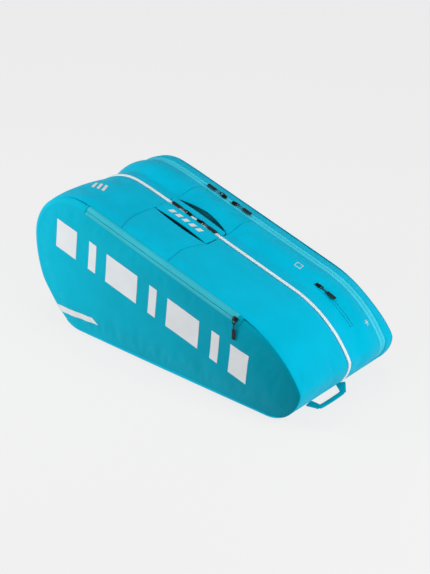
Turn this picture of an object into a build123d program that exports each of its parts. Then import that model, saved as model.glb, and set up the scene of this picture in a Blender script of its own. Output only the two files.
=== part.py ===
from build123d import *
import os
from math import asin, cos, degrees, radians, sin, tan

# A large racket bag, standing on its base. +X runs from the wide head end to the narrow tail
# end, -Y is the front, +Z is up, and the origin is the middle of the base on the ground.
# Millimetres. Two long zips run over the top from base to base and split the bag into a front
# shell, a core and a rear shell. Each shell swings open about its bottom edge.

# Side outline: one closed run of straight stretches and tangent arcs
length = 772.0
height = 339.5
slope_deg = 14.5            # fall of the top towards the tail
head_top_radius = 122.0
head_side_radius = 280.0
head_low_radius = 84.0
tail_top_radius = 260.0
tail_nose_radius = 24.0
tail_nose_turn = 30.5       # degrees

# Places across the width
front_y = -166.0            # seam of the front panel
front_zip_y = 10.0          # centre of the front compartment's zip
rear_zip_y = 135.0          # centre of the rear compartment's zip
rear_y = 169.0              # seam of the rear panel

# Thicknesses and gaps
fabric = 2.4
tape = 0.8
lining = 1.0
ply_gap = 0.2               # between two layers of one body
body_gap = 0.3
front_bulge = 14.0
front_edge_radius = 13.0
rear_bulge = 10.0
rear_edge_radius = 9.2

# Base and handle
base_rise = 40.0            # height of the base's turned-up ends
handle_x = (-143.0, 12.0)   # both ends of the grab handle
front_slit_y = (-45.0, -35.0)
rear_slit_y = (33.0, 56.0)
trough_depth = 38.0

slope = radians(slope_deg)
slope_run_dir = Vector(cos(slope), 0, -sin(slope))
slope_normal = Vector(sin(slope), 0, cos(slope))

# The head side turns far enough for the low corner to meet the ground
head_side_turn = degrees(
    asin((height - head_top_radius - head_low_radius) / (head_side_radius - head_low_radius))
)
head_x = -length / 2
tail_x = length / 2
bottom_start_x = (
    head_x + head_side_radius * (1 - cos(radians(head_side_turn)))
    + head_low_radius * cos(radians(head_side_turn))
)
head_top_x = head_x + head_top_radius
head_top_z = height - head_top_radius
slope_start = Vector(head_top_x, 0, head_top_z) + head_top_radius * slope_normal
nose = radians(tail_nose_turn)
slope_end_x = (
    tail_x - tail_nose_radius * (1 - cos(nose)) - tail_top_radius * (cos(nose) - sin(slope))
)
slope_end_z = slope_start.Z - (slope_end_x - slope_start.X) * tan(slope)
tail_low_radius = (
    slope_end_z - tail_nose_radius * sin(nose) - tail_top_radius * (cos(slope) - sin(nose))
)
slope_length = (slope_end_x - slope_start.X) / cos(slope)
bottom_length = tail_x - tail_low_radius - bottom_start_x
tail_arc_centre = Vector(slope_end_x, 0, slope_end_z) - tail_top_radius * slope_normal


def top_z(x):
    """Height of the straight part of the top at x."""
    return slope_start.Z - (x - slope_start.X) * tan(slope)


def outline(inset=0.0):
    """The side outline as a face in local X and Y, moved inwards all round by inset."""
    moves = [
        (bottom_length, None),
        (tail_low_radius, 90),
        (tail_nose_radius, tail_nose_turn),
        (tail_top_radius, 90 - slope_deg - tail_nose_turn),
        (slope_length, None),
        (head_top_radius, 90 + slope_deg),
        (head_side_radius, head_side_turn),
        (head_low_radius, 90 - head_side_turn),
    ]
    start = Vector(bottom_start_x, inset)
    heading = 0.0
    edges = []
    for size, turn in moves:
        along = Vector(cos(radians(heading)), sin(radians(heading)))
        if turn is None:
            edges.append(Line(start, start + size * along))
        else:
            edges.append(JernArc(start, along, size - inset, turn))
            heading += turn
        start = edges[-1] @ 1
    return make_face(edges)


def slab(inset, y_from, y_to):
    """The outline's shape, solid from one y to the other."""
    face = Plane.XZ.offset(-y_from) * outline(inset)
    return extrude(face, amount=y_to - y_from, dir=(0, 1, 0))


def ring(outer, inner, y_from, y_to):
    """A band that follows the outline, between two insets."""
    return slab(outer, y_from, y_to) - slab(inner, y_from, y_to)


def block(x_from, x_to, y_from, y_to, z_from, z_to):
    size = (x_to - x_from, y_to - y_from, z_to - z_from)
    centre = ((x_from + x_to) / 2, (y_from + y_to) / 2, (z_from + z_to) / 2)
    return Pos(*centre) * Box(*size)


far = 600.0                 # well outside the bag


def between_x(x_from, x_to, z_from):
    return block(x_from, x_to, -far, far, z_from, far)


def pillow(inset, seam_y, bulge, edge_radius, side):
    """A padded panel: a slab with one rounded face. side is -1 for the front, 1 for the rear."""
    depth = bulge - inset
    outer_y = seam_y + side * depth
    solid = slab(inset, min(seam_y, outer_y), max(seam_y, outer_y))
    rim = solid.faces().filter_by(Axis.Y).sort_by(Axis.Y)[0 if side < 0 else -1].edges()
    return fillet(rim, edge_radius - inset)


nodes = {}

# Base: a band with turned-up ends, its stiff board, and the wall between the compartments
above_base = base_rise + body_gap
front_lap = 10.0            # room for the front panel's lower edge to roll
rear_lap = 8.0
base_front_y = front_y + front_lap
base_rear_y = rear_y - rear_lap
nodes["base_panel"] = ring(0, fabric, base_front_y, base_rear_y) & block(
    -far, far, -far, far, 0, base_rise
)
board_thickness = 2.4
board_end_gap = 14.0
board_side_gap = 4.5
board_z = fabric + ply_gap
nodes["base_board"] = block(
    bottom_start_x + board_end_gap, tail_x - tail_low_radius - board_end_gap,
    base_front_y + board_side_gap, base_rear_y - board_side_gap,
    board_z, board_z + board_thickness,
)
divider_inset = 6.0
divider_y = (12.0, 16.0)
nodes["divider"] = slab(divider_inset, *divider_y)
liner_gap = 0.5
liner_y = divider_y[1] + liner_gap
nodes["thermal_liner_divider"] = slab(divider_inset + liner_gap, liner_y, liner_y + lining)

# Gussets: the band round the bag, cut at the zips and at the handle patch
zip_half_gap = 5.0          # fabric edge to the front zip's centre
reverse_half_gap = 9.0      # fabric edge to the rear zip's centre
mid_from = front_zip_y + zip_half_gap
mid_to = rear_zip_y - reverse_half_gap
head_part = between_x(-far, handle_x[0], above_base)
handle_part = between_x(*handle_x, above_base)
tail_part = between_x(handle_x[1], far, above_base)

front_band = ring(0, fabric, front_y, front_zip_y - zip_half_gap)
nodes["front_gusset_head"] = front_band & head_part
nodes["front_gusset_tail"] = front_band & tail_part
nodes["front_gusset_patch"] = ring(0, fabric, front_y, front_slit_y[0]) & handle_part
mid_band = ring(0, fabric, mid_from, mid_to)
nodes["mid_gusset_head"] = mid_band & head_part
nodes["mid_gusset_tail"] = mid_band & tail_part
nodes["mid_gusset_patch"] = ring(0, fabric, rear_slit_y[1], mid_to) & handle_part
rear_band = ring(0, fabric, rear_zip_y + reverse_half_gap, rear_y)
nodes["rear_gusset_head"] = rear_band & between_x(-far, slope_start.X, above_base)
nodes["rear_gusset_top"] = rear_band & between_x(slope_start.X, slope_end_x, above_base)
nodes["rear_gusset_tail"] = rear_band & between_x(slope_end_x, far, above_base)

# Grab handle: a padded band each side of the front zip, and a lined trough under each half
band_lift = 2.0
nodes["handle_band_front"] = (
    ring(-band_lift, fabric, front_slit_y[1], front_zip_y - zip_half_gap) & handle_part
)
nodes["handle_band_rear"] = ring(-band_lift, fabric, mid_from, rear_slit_y[0]) & handle_part


def on_slope(x, y):
    """A place on the sloping top, with local X down the slope and local Z out of the fabric."""
    return Location((x, y, top_z(x)), (0, slope_deg, 0))


trough_end_gap = 2.0
trough_lap = 2.0            # how far it reaches under the fabric beyond the slit
trough_zip_gap = 3.0        # clear of the front zip's centre
trough_liner_gap = 1.0


def trough(y_from, y_to):
    """An open lined box that hangs under the handle."""
    trough_length = (handle_x[1] - handle_x[0]) / cos(slope) - 2 * trough_end_gap
    width = y_to - y_from
    top = -fabric - 2 * tape
    outer = Pos(0, 0, top - trough_depth / 2) * Box(trough_length, width, trough_depth)
    hollow = Pos(0, 0, top - trough_depth / 2 + lining) * Box(
        trough_length - 2 * lining, width - 2 * lining, trough_depth
    )
    return on_slope(sum(handle_x) / 2, (y_from + y_to) / 2) * (outer - hollow)


nodes["handle_lining_front"] = trough(
    front_slit_y[0] - trough_lap, front_zip_y - trough_zip_gap
)
nodes["handle_lining_rear"] = trough(
    liner_y + lining + trough_liner_gap, rear_slit_y[1] + trough_lap
)

# Front zip: a tape and a raised white coil on each side of the split
tape_top = fabric + ply_gap
tape_width = 14.0
split = 0.2                 # half the gap between the two sides
coil_width = 3.8
coil_lift = 1.0
for node, side in (("a", -1), ("b", 1)):
    inner_y = front_zip_y + side * split
    tape_ys = sorted((inner_y, inner_y + side * tape_width))
    coil_ys = sorted((inner_y, inner_y + side * coil_width))
    all_x = between_x(-far, far, above_base)
    nodes["front_zip_tape_" + node] = ring(tape_top, tape_top + tape, *tape_ys) & all_x
    nodes["front_zip_coil_" + node] = ring(-coil_lift, tape_top, *coil_ys) & all_x

# Rear zip: flat tapes outside, the coil sewn to their inner face
reverse_coil_width = 3.4
reverse_coil_depth = 2.4
for node, side in (("a", -1), ("b", 1)):
    inner_y = rear_zip_y + side * split
    tape_ys = sorted((inner_y, inner_y + side * tape_width))
    coil_ys = sorted((inner_y, inner_y + side * reverse_coil_width))
    flat = ring(tape_top, tape_top + tape, *tape_ys)
    coil = ring(tape_top + tape, tape_top + tape + reverse_coil_depth, *coil_ys)
    nodes["rear_zip_tape_" + node] = (flat + coil) & between_x(-far, far, above_base)

# Front panel: bulged fabric, the pocket's back wall, and a foam pad behind it
front_cloth = 2.2
backing_cloth = 0.6
layer_gap = 0.3


def padded_layer(inset, thickness, seam_y, bulge, edge_radius, side):
    outer = pillow(inset, seam_y, bulge, edge_radius, side)
    return outer - pillow(inset + thickness, seam_y, bulge, edge_radius, side)


front_shape = (front_y, front_bulge, front_edge_radius, -1)
backing_inset = front_cloth + layer_gap
nodes["front_panel"] = padded_layer(0, front_cloth, *front_shape)
nodes["pocket_backing"] = padded_layer(backing_inset, backing_cloth, *front_shape)
nodes["front_foam"] = pillow(backing_inset + backing_cloth + layer_gap, *front_shape)

# Rear panel: padded back wall, its foam and the shiny thermal lining
rear_cloth = 2.0
rear_shape = (rear_y, rear_bulge, rear_edge_radius, 1)
rear_liner_y = rear_y - liner_gap - lining
nodes["rear_panel"] = padded_layer(0, rear_cloth, *rear_shape)
nodes["rear_foam"] = pillow(rear_cloth + layer_gap, *rear_shape)
nodes["thermal_liner_rear"] = slab(rear_cloth + lining, rear_liner_y, rear_liner_y + lining)

# Pocket zip: two tapes that lie on the rounded top edge of the front panel
pocket_zip_x = (-234.0, 216.0)
pocket_zip_deg = 35.0       # how far the zip's centre line is turned up from the front
pocket_tape_deg = (1.0, 79.0)   # both edges of the two tapes together
pocket_split_deg = 0.7
tape_float = 0.05           # the tape's inner face clears the panel


def edge_axis(x):
    """Centre of the rounded top edge of the front panel, below the point x of the top."""
    seat = Vector(x, front_y - front_bulge + front_edge_radius, top_z(x))
    return seat - front_edge_radius * slope_normal


def edge_tape(from_deg, to_deg):
    """A strip on the rounded edge, between two angles above the front."""
    low, high = front_edge_radius + tape_float, front_edge_radius + tape
    sector = make_face([
        CenterArc((0, 0), low, from_deg, to_deg - from_deg),
        CenterArc((0, 0), high, from_deg, to_deg - from_deg),
        Line(Vector(low, 0).rotate(Axis.Z, from_deg), Vector(high, 0).rotate(Axis.Z, from_deg)),
        Line(Vector(low, 0).rotate(Axis.Z, to_deg), Vector(high, 0).rotate(Axis.Z, to_deg)),
    ])
    end = Plane(edge_axis(pocket_zip_x[1]), x_dir=(0, -1, 0), z_dir=-slope_run_dir)
    return extrude(end * sector, amount=(pocket_zip_x[1] - pocket_zip_x[0]) / cos(slope))


nodes["pocket_zip_tape_lower"] = edge_tape(
    pocket_tape_deg[0], pocket_zip_deg - pocket_split_deg
)
nodes["pocket_zip_tape_upper"] = edge_tape(
    pocket_zip_deg + pocket_split_deg, pocket_tape_deg[1]
)

# Concealed accessory pocket on the tail's curved top, with its bag inside the rear compartment
accessory_y = 67.0
accessory_x = (240.0, 345.0)
accessory_half_width = 6.0
accessory_tape = 0.7
pouch_insets = (4.5, 8.0)
pouch_y = (36.0, 106.0)
pouch_overhang = 20.0       # how far the bag reaches past both ends of the zip
nodes["accessory_zip_tape"] = ring(
    -accessory_tape, 0, accessory_y - accessory_half_width, accessory_y + accessory_half_width
) & between_x(*accessory_x, above_base)
nodes["accessory_pocket_bag"] = ring(*pouch_insets, *pouch_y) & between_x(
    accessory_x[0] - pouch_overhang, accessory_x[1] + pouch_overhang,
    above_base + pouch_overhang,
)

# Zip sliders. Local frame: X along the zip towards the pull, Z out of the fabric, Z = 0 on it.
plate_length = 14.0
plate_width = 10.0
plate_corner = 3.0
plate_low = 1.4
plate_thickness = 1.5
plate_top = plate_low + plate_thickness
eye_length = 10.0
eye_width = 2.4
eye_wall = 1.4
eye_corner = 1.2
eye_opening = 6.0           # clear length of the eye that holds the ring
eye_height = 2.3            # and its clear height
ring_wire = 1.2
ring_length = 14.4
ring_width = 10.0
ring_corner = 3.0
pivot_lift = plate_top + eye_height / 2
cord_loop_start = 9.6
cord_loop_length = 17.0
cord_loop_height = 5.2
cord_thickness = 1.6
tab_start = 26.0
tab_length = 26.0
tab_width = 9.0
tab_thickness = 3.4
tab_corner = 1.2


def slider_plate():
    plate = Pos(0, 0, plate_low + plate_thickness / 2) * Box(
        plate_length, plate_width, plate_thickness
    )
    return fillet(plate.edges().filter_by(Axis.Z), plate_corner)


def slider_eye():
    rise = eye_height + eye_wall
    outer = Pos(0, 0, plate_top + rise / 2) * Box(eye_length, eye_width, rise)
    outer = fillet(outer.edges().filter_by(Axis.Y).group_by(Axis.Z)[-1], eye_corner)
    return outer - Pos(0, 0, pivot_lift) * Box(eye_opening, 2 * eye_width, eye_height)


def pull_ring():
    inner_size = ring_length - 2 * ring_wire, ring_width - 2 * ring_wire
    outline_2d = RectangleRounded(ring_length, ring_width, ring_corner) - RectangleRounded(
        *inner_size, ring_corner - ring_wire
    )
    centre_x = ring_length / 2 - ring_wire / 2
    return Pos(centre_x, 0, pivot_lift - ring_wire / 2) * extrude(outline_2d, ring_wire)


def pull_tab():
    inner = cord_loop_length - 2 * cord_thickness, cord_loop_height - 2 * cord_thickness
    loop_2d = SlotOverall(cord_loop_length, cord_loop_height) - SlotOverall(*inner)
    loop = extrude(Plane.XZ * loop_2d, cord_thickness / 2, both=True)
    grip = Box(tab_length, tab_width, tab_thickness)
    grip = fillet(grip.edges(), tab_corner)
    placed_loop = Pos(cord_loop_start + cord_loop_length / 2, 0, pivot_lift) * loop
    return placed_loop + Pos(tab_start + tab_length / 2, 0, pivot_lift) * grip


def add_slider(name, place):
    nodes[name + "_slider"] = place * (slider_plate() + slider_eye())
    nodes[name + "_ring"] = place * pull_ring()
    nodes[name + "_tab"] = place * pull_tab()


to_head = Rot(0, 0, 180)
slider_x = (-81.0, -51.0)   # the two sliders of a long zip meet over the handle
for name, y in (("front_zip", front_zip_y), ("rear_zip", rear_zip_y)):
    add_slider(name + "_head", on_slope(slider_x[0], y) * to_head)
    add_slider(name + "_tail", on_slope(slider_x[1], y))

accessory_slider_x = 246.0
accessory_tilt = degrees(asin((accessory_slider_x - tail_arc_centre.X) / tail_top_radius))
accessory_slider_z = tail_arc_centre.Z + tail_top_radius * cos(radians(accessory_tilt))
add_slider(
    "accessory_zip",
    Location((accessory_slider_x, accessory_y, accessory_slider_z), (0, accessory_tilt, 0)),
)

# The pocket's slider sits on the rounded edge, and its pull hangs straight down the front
pocket_slider_x = 212.0
pull_clearance = 0.9        # front panel's face to the plane the pull lies on
up = radians(pocket_zip_deg)
radial = cos(up) * Vector(0, -1, 0) + sin(up) * slope_normal
edge_centre = edge_axis(pocket_slider_x)
pocket_pivot_y = front_y - front_bulge - pull_clearance - pivot_lift
pivot_reach = (edge_centre.Y - pocket_pivot_y) / cos(up)
pocket_pivot = edge_centre + pivot_reach * radial
seat_plane = Plane(
    edge_centre + (front_edge_radius - ply_gap) * radial, x_dir=slope_run_dir, z_dir=radial
)
eye_plane = Plane(pocket_pivot, x_dir=(1, 0, 0), z_dir=(0, -cos(up), sin(up)))
eye_radius = 1.2            # of the cross hole that holds this slider's ring
neck_reach = pivot_reach - front_edge_radius - plate_low
eye_top = eye_radius + eye_wall
eye_block = Pos(0, 0, (eye_top - neck_reach) / 2) * Box(
    eye_width, 2 * eye_top, eye_top + neck_reach
)
eye_hole = Cylinder(eye_radius, 2 * eye_width, rotation=(0, 90, 0))
nodes["pocket_zip_slider"] = seat_plane * slider_plate() + eye_plane * (eye_block - eye_hole)
hang = Location(Plane(
    pocket_pivot + Vector(0, pivot_lift, 0), x_dir=(0, 0, -1), z_dir=(0, -1, 0)
))
nodes["pocket_zip_ring"] = hang * pull_ring()
nodes["pocket_zip_tab"] = hang * pull_tab()

# End loop: flat webbing sewn under the tail's low corner, gathered to half width at the grip
webbing = 25.0
webbing_thickness = 2.2
loop_x = 334.5              # where it leaves its sewn tabs
loop_y = (-68.0, 50.0)      # middles of the two legs
loop_lean = (8.0, 26.0)     # how far each leg leans in towards the grip
loop_reach = 34.0
loop_corner = 8.0           # cut across both outer corners
loop_round = 4.0
loop_droop_deg = 6.0
grip_width = 12.0
leg = webbing / 2
corner_x = loop_reach - loop_corner
inner_x = loop_reach - grip_width
grip_front_y = loop_y[0] + loop_lean[0]
grip_rear_y = loop_y[1] - loop_lean[1]
loop_2d = Polygon(
    (0, loop_y[0] - leg), (corner_x, grip_front_y - leg), (loop_reach, grip_front_y),
    (loop_reach, grip_rear_y), (corner_x, grip_rear_y + leg), (0, loop_y[1] + leg),
    (0, loop_y[1] - leg), (inner_x, grip_rear_y - leg),
    (inner_x, grip_front_y + leg), (0, loop_y[0] + leg),
    align=None,
)
loop_z = 6.4
loop_2d = fillet(loop_2d.vertices().group_by(Axis.X)[1:], loop_round)
nodes["end_loop"] = Location((loop_x, 0, loop_z), (0, loop_droop_deg, 0)) * extrude(
    loop_2d, -webbing_thickness
)
sewn_reach = 12.0
sewn_end = loop_x - 2 * body_gap
under_corner = ring(-webbing_thickness, 0, -far, far)
nodes["end_loop_tabs"] = Part() + [
    under_corner & block(loop_x - sewn_reach, sewn_end, y - leg, y + leg, 0, base_rise)
    for y in loop_y
]

# Shoulder straps on the rear panel. Each hangs below a line between its two sewn ends.
strap_ends = {
    "upper": (Vector(234, 0, 180), Vector(-276, 0, 272)),
    "lower": (Vector(254, 0, 100), Vector(-266, 0, 92)),
}
strap_sag = 30.0
pad_half_width = 27.0
pad_thickness = 8.0
web_half_width = 12.5
web_thickness = 1.8
pad_share = (0.03, 0.66)    # where the pad starts and ends, from the tail end of the strap
pad_taper = 80.0
pad_y = rear_y + rear_bulge + 2.0
web_y = pad_y + 3.0
edge_drop = 0.8             # top edge of the webbing below the line of its ends
end_gap = 1.0               # from the webbing to the patch that it is sewn to
patch_length = 26.0
patch_margin = 3.0
patch_thickness = 2.0
lock_length = 24.0
lock_width = 32.0
lock_thickness = 5.0
lock_slot = 4.0
lock_bar_half = 3.0         # half the bar between its two slots


def strap_centre(span, s):
    """Middle of a strap's width at distance s from its head end."""
    return -edge_drop - web_half_width - strap_sag * (1 - (2 * s / span - 1) ** 2)


def strap_strip(span, start, end, half_width_at, count=9):
    """The flat shape of a strap between two distances, with smooth long edges."""
    steps = [start + (end - start) * i / (count - 1) for i in range(count)]
    top, low = (
        Spline([(s, strap_centre(span, s) + side * half_width_at(s)) for s in steps])
        for side in (1, -1)
    )
    return make_face([top, Line(top @ 1, low @ 1), low, Line(low @ 0, top @ 0)])


def pad_width(start, end):
    """Half width of a pad that widens smoothly from both of its ends."""
    def half_width_at(s):
        share = min(min(s - start, end - s) / pad_taper, 1)
        return web_half_width + (pad_half_width - web_half_width) * sin(radians(90 * share))
    return half_width_at


def web_width(_):
    return web_half_width


def laid(face, flat, y_from, y_to):
    """A flat shape on the strap's plane, made solid from y_from to y_to beyond it."""
    return extrude(face * (Pos(0, 0, -y_from) * flat), amount=y_to - y_from, dir=(0, 1, 0))


def ladder_lock():
    body = Box(lock_length - 2 * body_gap, lock_width, lock_thickness)
    for side in (-1, 1):
        middle = side * (lock_bar_half + lock_slot / 2)
        body -= Pos(middle, 0, 0) * Box(
            lock_slot, lock_width - 2 * patch_margin, 2 * lock_thickness
        )
    return body


anchors = Part()
for name, (tail_end, head_end) in strap_ends.items():
    span = (tail_end - head_end).length
    along = (tail_end - head_end).normalized()
    face = Plane(head_end + Vector(0, pad_y, 0), x_dir=along, z_dir=(0, -1, 0))
    pad_from, pad_to = span * (1 - pad_share[1]), span * (1 - pad_share[0])
    pad = strap_strip(span, pad_from, pad_to, pad_width(pad_from, pad_to))
    nodes["strap_" + name + "_pad"] = laid(face, pad, 0, pad_thickness)
    web = strap_strip(span, end_gap, pad_from - lock_length - body_gap, web_width)
    web_from = web_y - pad_y
    nodes["strap_" + name + "_webbing"] = laid(face, web, web_from, web_from + web_thickness)
    lock_s = pad_from - (lock_length + body_gap) / 2
    lock_z = -web_thickness - lock_thickness / 2
    lock_place = face * Pos(lock_s, strap_centre(span, lock_s), lock_z)
    nodes["strap_" + name + "_ladder_lock"] = lock_place * ladder_lock()
    patch = Rectangle(patch_length, 2 * web_half_width + 2 * patch_margin)
    patch_from = rear_y + rear_bulge - pad_y + tape_float
    for middle in (-end_gap - patch_length / 2, span + end_gap + patch_length / 2):
        placed = Pos(middle, -edge_drop - web_half_width) * patch
        anchors += laid(face, placed, patch_from, patch_from + patch_thickness)
nodes["strap_anchor_patches"] = anchors

os.makedirs("parts", exist_ok=True)
for name, solid in nodes.items():
    export_step(solid, "parts/" + name + ".step")
    print(name, round(solid.volume / 1000, 1), "cm3")
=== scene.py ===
import math
import bpy
import bmesh
import numpy as np
from mathutils import Matrix, Vector
from mathutils.bvhtree import BVHTree
from mathutils.geometry import delaunay_2d_cdt


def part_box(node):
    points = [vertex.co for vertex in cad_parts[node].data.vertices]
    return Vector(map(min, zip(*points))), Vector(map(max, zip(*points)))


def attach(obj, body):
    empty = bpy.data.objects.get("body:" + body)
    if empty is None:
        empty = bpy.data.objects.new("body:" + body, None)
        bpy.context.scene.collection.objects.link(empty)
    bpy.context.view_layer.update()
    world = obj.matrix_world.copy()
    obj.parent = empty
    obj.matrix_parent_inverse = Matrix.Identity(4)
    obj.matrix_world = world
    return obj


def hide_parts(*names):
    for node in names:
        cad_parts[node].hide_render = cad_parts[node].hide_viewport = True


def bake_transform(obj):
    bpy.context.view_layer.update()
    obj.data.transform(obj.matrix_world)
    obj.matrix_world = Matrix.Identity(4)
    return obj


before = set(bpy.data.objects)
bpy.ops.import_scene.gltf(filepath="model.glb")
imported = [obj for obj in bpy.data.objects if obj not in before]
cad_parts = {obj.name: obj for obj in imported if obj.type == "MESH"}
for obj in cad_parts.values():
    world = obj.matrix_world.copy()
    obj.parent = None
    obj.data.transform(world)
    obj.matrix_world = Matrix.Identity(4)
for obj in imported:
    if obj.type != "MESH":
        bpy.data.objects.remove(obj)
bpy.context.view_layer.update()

scene = bpy.context.scene


# ---------------------------------------------------------------- places, read from the frame
def low(node):
    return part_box(node)[0]


def high(node):
    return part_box(node)[1]


HEAD_X, TAIL_X = low("front_panel").x, high("front_panel").x
HEIGHT = high("front_panel").z
FRONT_Y = high("front_panel").y
FRONT_FACE_Y = low("front_panel").y
REAR_Y = low("rear_panel").y
REAR_FACE_Y = high("rear_panel").y
FRONT_ZIP_Y = (high("front_zip_coil_a").y + low("front_zip_coil_b").y) / 2
REAR_ZIP_Y = (high("rear_zip_tape_a").y + low("rear_zip_tape_b").y) / 2
BASE_Z = high("base_panel").z
HANDLE_X = (low("handle_band_front").x, high("handle_band_front").x)
FRONT_SLIT_Y = (high("front_gusset_patch").y, low("handle_band_front").y)
REAR_SLIT_Y = (high("handle_band_rear").y, low("mid_gusset_patch").y)
FRONT_EDGE_Y = high("front_gusset_head").y
MID_EDGE_Y = (low("mid_gusset_head").y, high("mid_gusset_head").y)
REAR_EDGE_Y = low("rear_gusset_top").y

# The side outline: straight runs and tangent arcs, as in the CAD
SLOPE = math.radians(14.5)
HEAD_TOP_R, HEAD_SIDE_R, HEAD_LOW_R = 0.122, 0.280, 0.084
TAIL_TOP_R, TAIL_NOSE_R = 0.260, 0.024
NOSE_TURN = math.radians(30.5)
HEAD_SIDE_TURN = math.asin((HEIGHT - HEAD_TOP_R - HEAD_LOW_R) / (HEAD_SIDE_R - HEAD_LOW_R))


def outline_moves():
    """Start point and the list of (length or radius, turn) round the outline, from the base."""
    start_x = HEAD_X + HEAD_SIDE_R * (1 - math.cos(HEAD_SIDE_TURN))
    start_x += HEAD_LOW_R * math.cos(HEAD_SIDE_TURN)
    top_x = HEAD_X + HEAD_TOP_R + HEAD_TOP_R * math.sin(SLOPE)
    top_z = HEIGHT - HEAD_TOP_R + HEAD_TOP_R * math.cos(SLOPE)
    end_x = TAIL_X - TAIL_NOSE_R * (1 - math.cos(NOSE_TURN))
    end_x -= TAIL_TOP_R * (math.cos(NOSE_TURN) - math.sin(SLOPE))
    end_z = top_z - (end_x - top_x) * math.tan(SLOPE)
    low_r = end_z - TAIL_NOSE_R * math.sin(NOSE_TURN)
    low_r -= TAIL_TOP_R * (math.cos(SLOPE) - math.sin(NOSE_TURN))
    quarter = math.pi / 2
    return start_x, [
        (TAIL_X - low_r - start_x, 0.0),
        (low_r, quarter),
        (TAIL_NOSE_R, NOSE_TURN),
        (TAIL_TOP_R, quarter - SLOPE - NOSE_TURN),
        ((end_x - top_x) / math.cos(SLOPE), 0.0),
        (HEAD_TOP_R, quarter + SLOPE),
        (HEAD_SIDE_R, HEAD_SIDE_TURN),
        (HEAD_LOW_R, quarter - HEAD_SIDE_TURN),
    ]


class Outline:
    """The bag's side outline by arc length, anticlockwise seen from the front."""

    def __init__(self):
        x, moves = outline_moves()
        z, heading, run = 0.0, 0.0, 0.0
        self.runs = []
        for size, turn in moves:
            length = size * turn if turn else size
            self.runs.append((run, length, x, z, heading, size, turn))
            if turn:
                x += size * (math.sin(heading + turn) - math.sin(heading))
                z += size * (math.cos(heading) - math.cos(heading + turn))
                heading += turn
            else:
                x += size * math.cos(heading)
                z += size * math.sin(heading)
            run += length
        self.length = run
        self.table_s = np.linspace(0, run, 4001)
        self.table_x, self.table_z, _, _ = self.at(self.table_s)

    def at(self, s):
        """x, z and the outward normal's x, z for arc lengths s."""
        s = np.asarray(s, float) % self.length if np.ndim(s) else np.array([s % self.length])
        x, z, nx, nz = (np.zeros_like(s) for _ in range(4))
        for run, length, x0, z0, heading, size, turn in self.runs:
            here = (s >= run - 1e-12) & (s <= run + length + 1e-12)
            t = s[here] - run
            if turn:
                angle = heading + t / size
                x[here] = x0 + size * (np.sin(angle) - math.sin(heading))
                z[here] = z0 + size * (math.cos(heading) - np.cos(angle))
            else:
                angle = np.full_like(t, heading)
                x[here] = x0 + t * math.cos(heading)
                z[here] = z0 + t * math.sin(heading)
            nx[here], nz[here] = np.sin(angle), -np.cos(angle)
        return x, z, nx, nz

    def where_x(self, x):
        """Arc length of the place on the top at this x, or at each of several."""
        top = (self.table_z > 0.12) & (self.table_s > self.runs[3][0])
        top &= self.table_s < self.runs[5][0] + self.runs[5][1]
        s, xs = self.table_s[top], self.table_x[top]
        found = np.interp(-np.asarray(x, float), -xs, s)
        return found if np.ndim(x) else float(found)


rim = Outline()
# The gussets run from the top of the base at the tail to the top of the base at the head
TAIL_S = rim.runs[1][0] + rim.runs[1][5] * math.acos(1 - BASE_Z / rim.runs[1][5])
HEAD_S = float(np.interp(-BASE_Z, -rim.table_z[-900:], rim.table_s[-900:]))
HANDLE_S = (rim.where_x(HANDLE_X[1]), rim.where_x(HANDLE_X[0]))


def ease(t):
    t = np.clip(t, 0, 1)
    return t * t * (3 - 2 * t)


def window(t, start, rise, fall, end):
    """0 up to start, 1 from rise to fall, and 0 again from end."""
    return ease((t - start) / (rise - start)) * (1 - ease((t - fall) / (end - fall)))


FRONT_TOP = [rim.where_x(x) for x in (0.31, 0.14, -0.22, -0.33)]
SEAM_RISE = 0.0035


def seam_rise(s, y):
    """How far the front seam stands up along the top."""
    return SEAM_RISE * window(s, *FRONT_TOP) * (1 - ease((y - FRONT_Y) / 0.06))


def below_seam(depth):
    """How much of that rise is left at a depth below the seam, so that the zip stays in place."""
    return 1 - ease(depth / 0.0042)


def tuck(s, y):
    """How far the soft bag lies inside the CAD outline: its rims and low corners are rounded."""
    s, y = np.broadcast_arrays(np.asarray(s, float), np.asarray(y, float))
    s = np.where(s < 0, s + rim.length, s) % rim.length
    bottom_end, nose = rim.runs[1][0], rim.runs[2][0]
    head_top, head_side = rim.runs[5][0], rim.runs[6][0]
    at_rims = 1 - window(y, FRONT_Y, FRONT_Y + 0.05, REAR_Y - 0.05, REAR_Y)
    flat_part = 1 - window(s, bottom_end + 0.04, bottom_end + 0.09, HEAD_S - 0.09, HEAD_S - 0.03)
    tail_low = window(s, bottom_end, bottom_end + 0.06, nose - 0.06, nose + 0.02)
    low = np.maximum(0.0065 * flat_part * at_rims, 0.0060 * tail_low)
    over_rear = ease((y - 0.138) / 0.030)
    rear_top = 0.0085 * window(s, nose, nose + 0.12, HEAD_S - 0.20, HEAD_S - 0.05) * over_rear
    head = window(s, head_top - 0.06, head_top + 0.12, head_side + 0.02, head_side + 0.14)
    head = 0.0100 * head * ease((y - FRONT_Y - 0.01) / 0.15) * (1 - 0.5 * over_rear)
    return low + rear_top + head - seam_rise(s, y)


def soft_points(s, y, lift):
    """Points of the soft band for arrays of arc length, width and lift."""
    x, z, nx, nz = rim.at(s)
    off = lift - tuck(s, y)
    return np.stack([x + off * nx, np.broadcast_to(y, np.shape(x)), z + off * nz], 1)


def surface_point(s, y, lift=0.0):
    """A point on the soft band at arc length s and width y, lifted off it."""
    return Vector(soft_points(np.array([s]), np.array([y]), lift)[0])


def outward(s):
    _, _, nx, nz = (float(v[0]) for v in rim.at(s))
    return Vector((nx, 0, nz))


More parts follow.
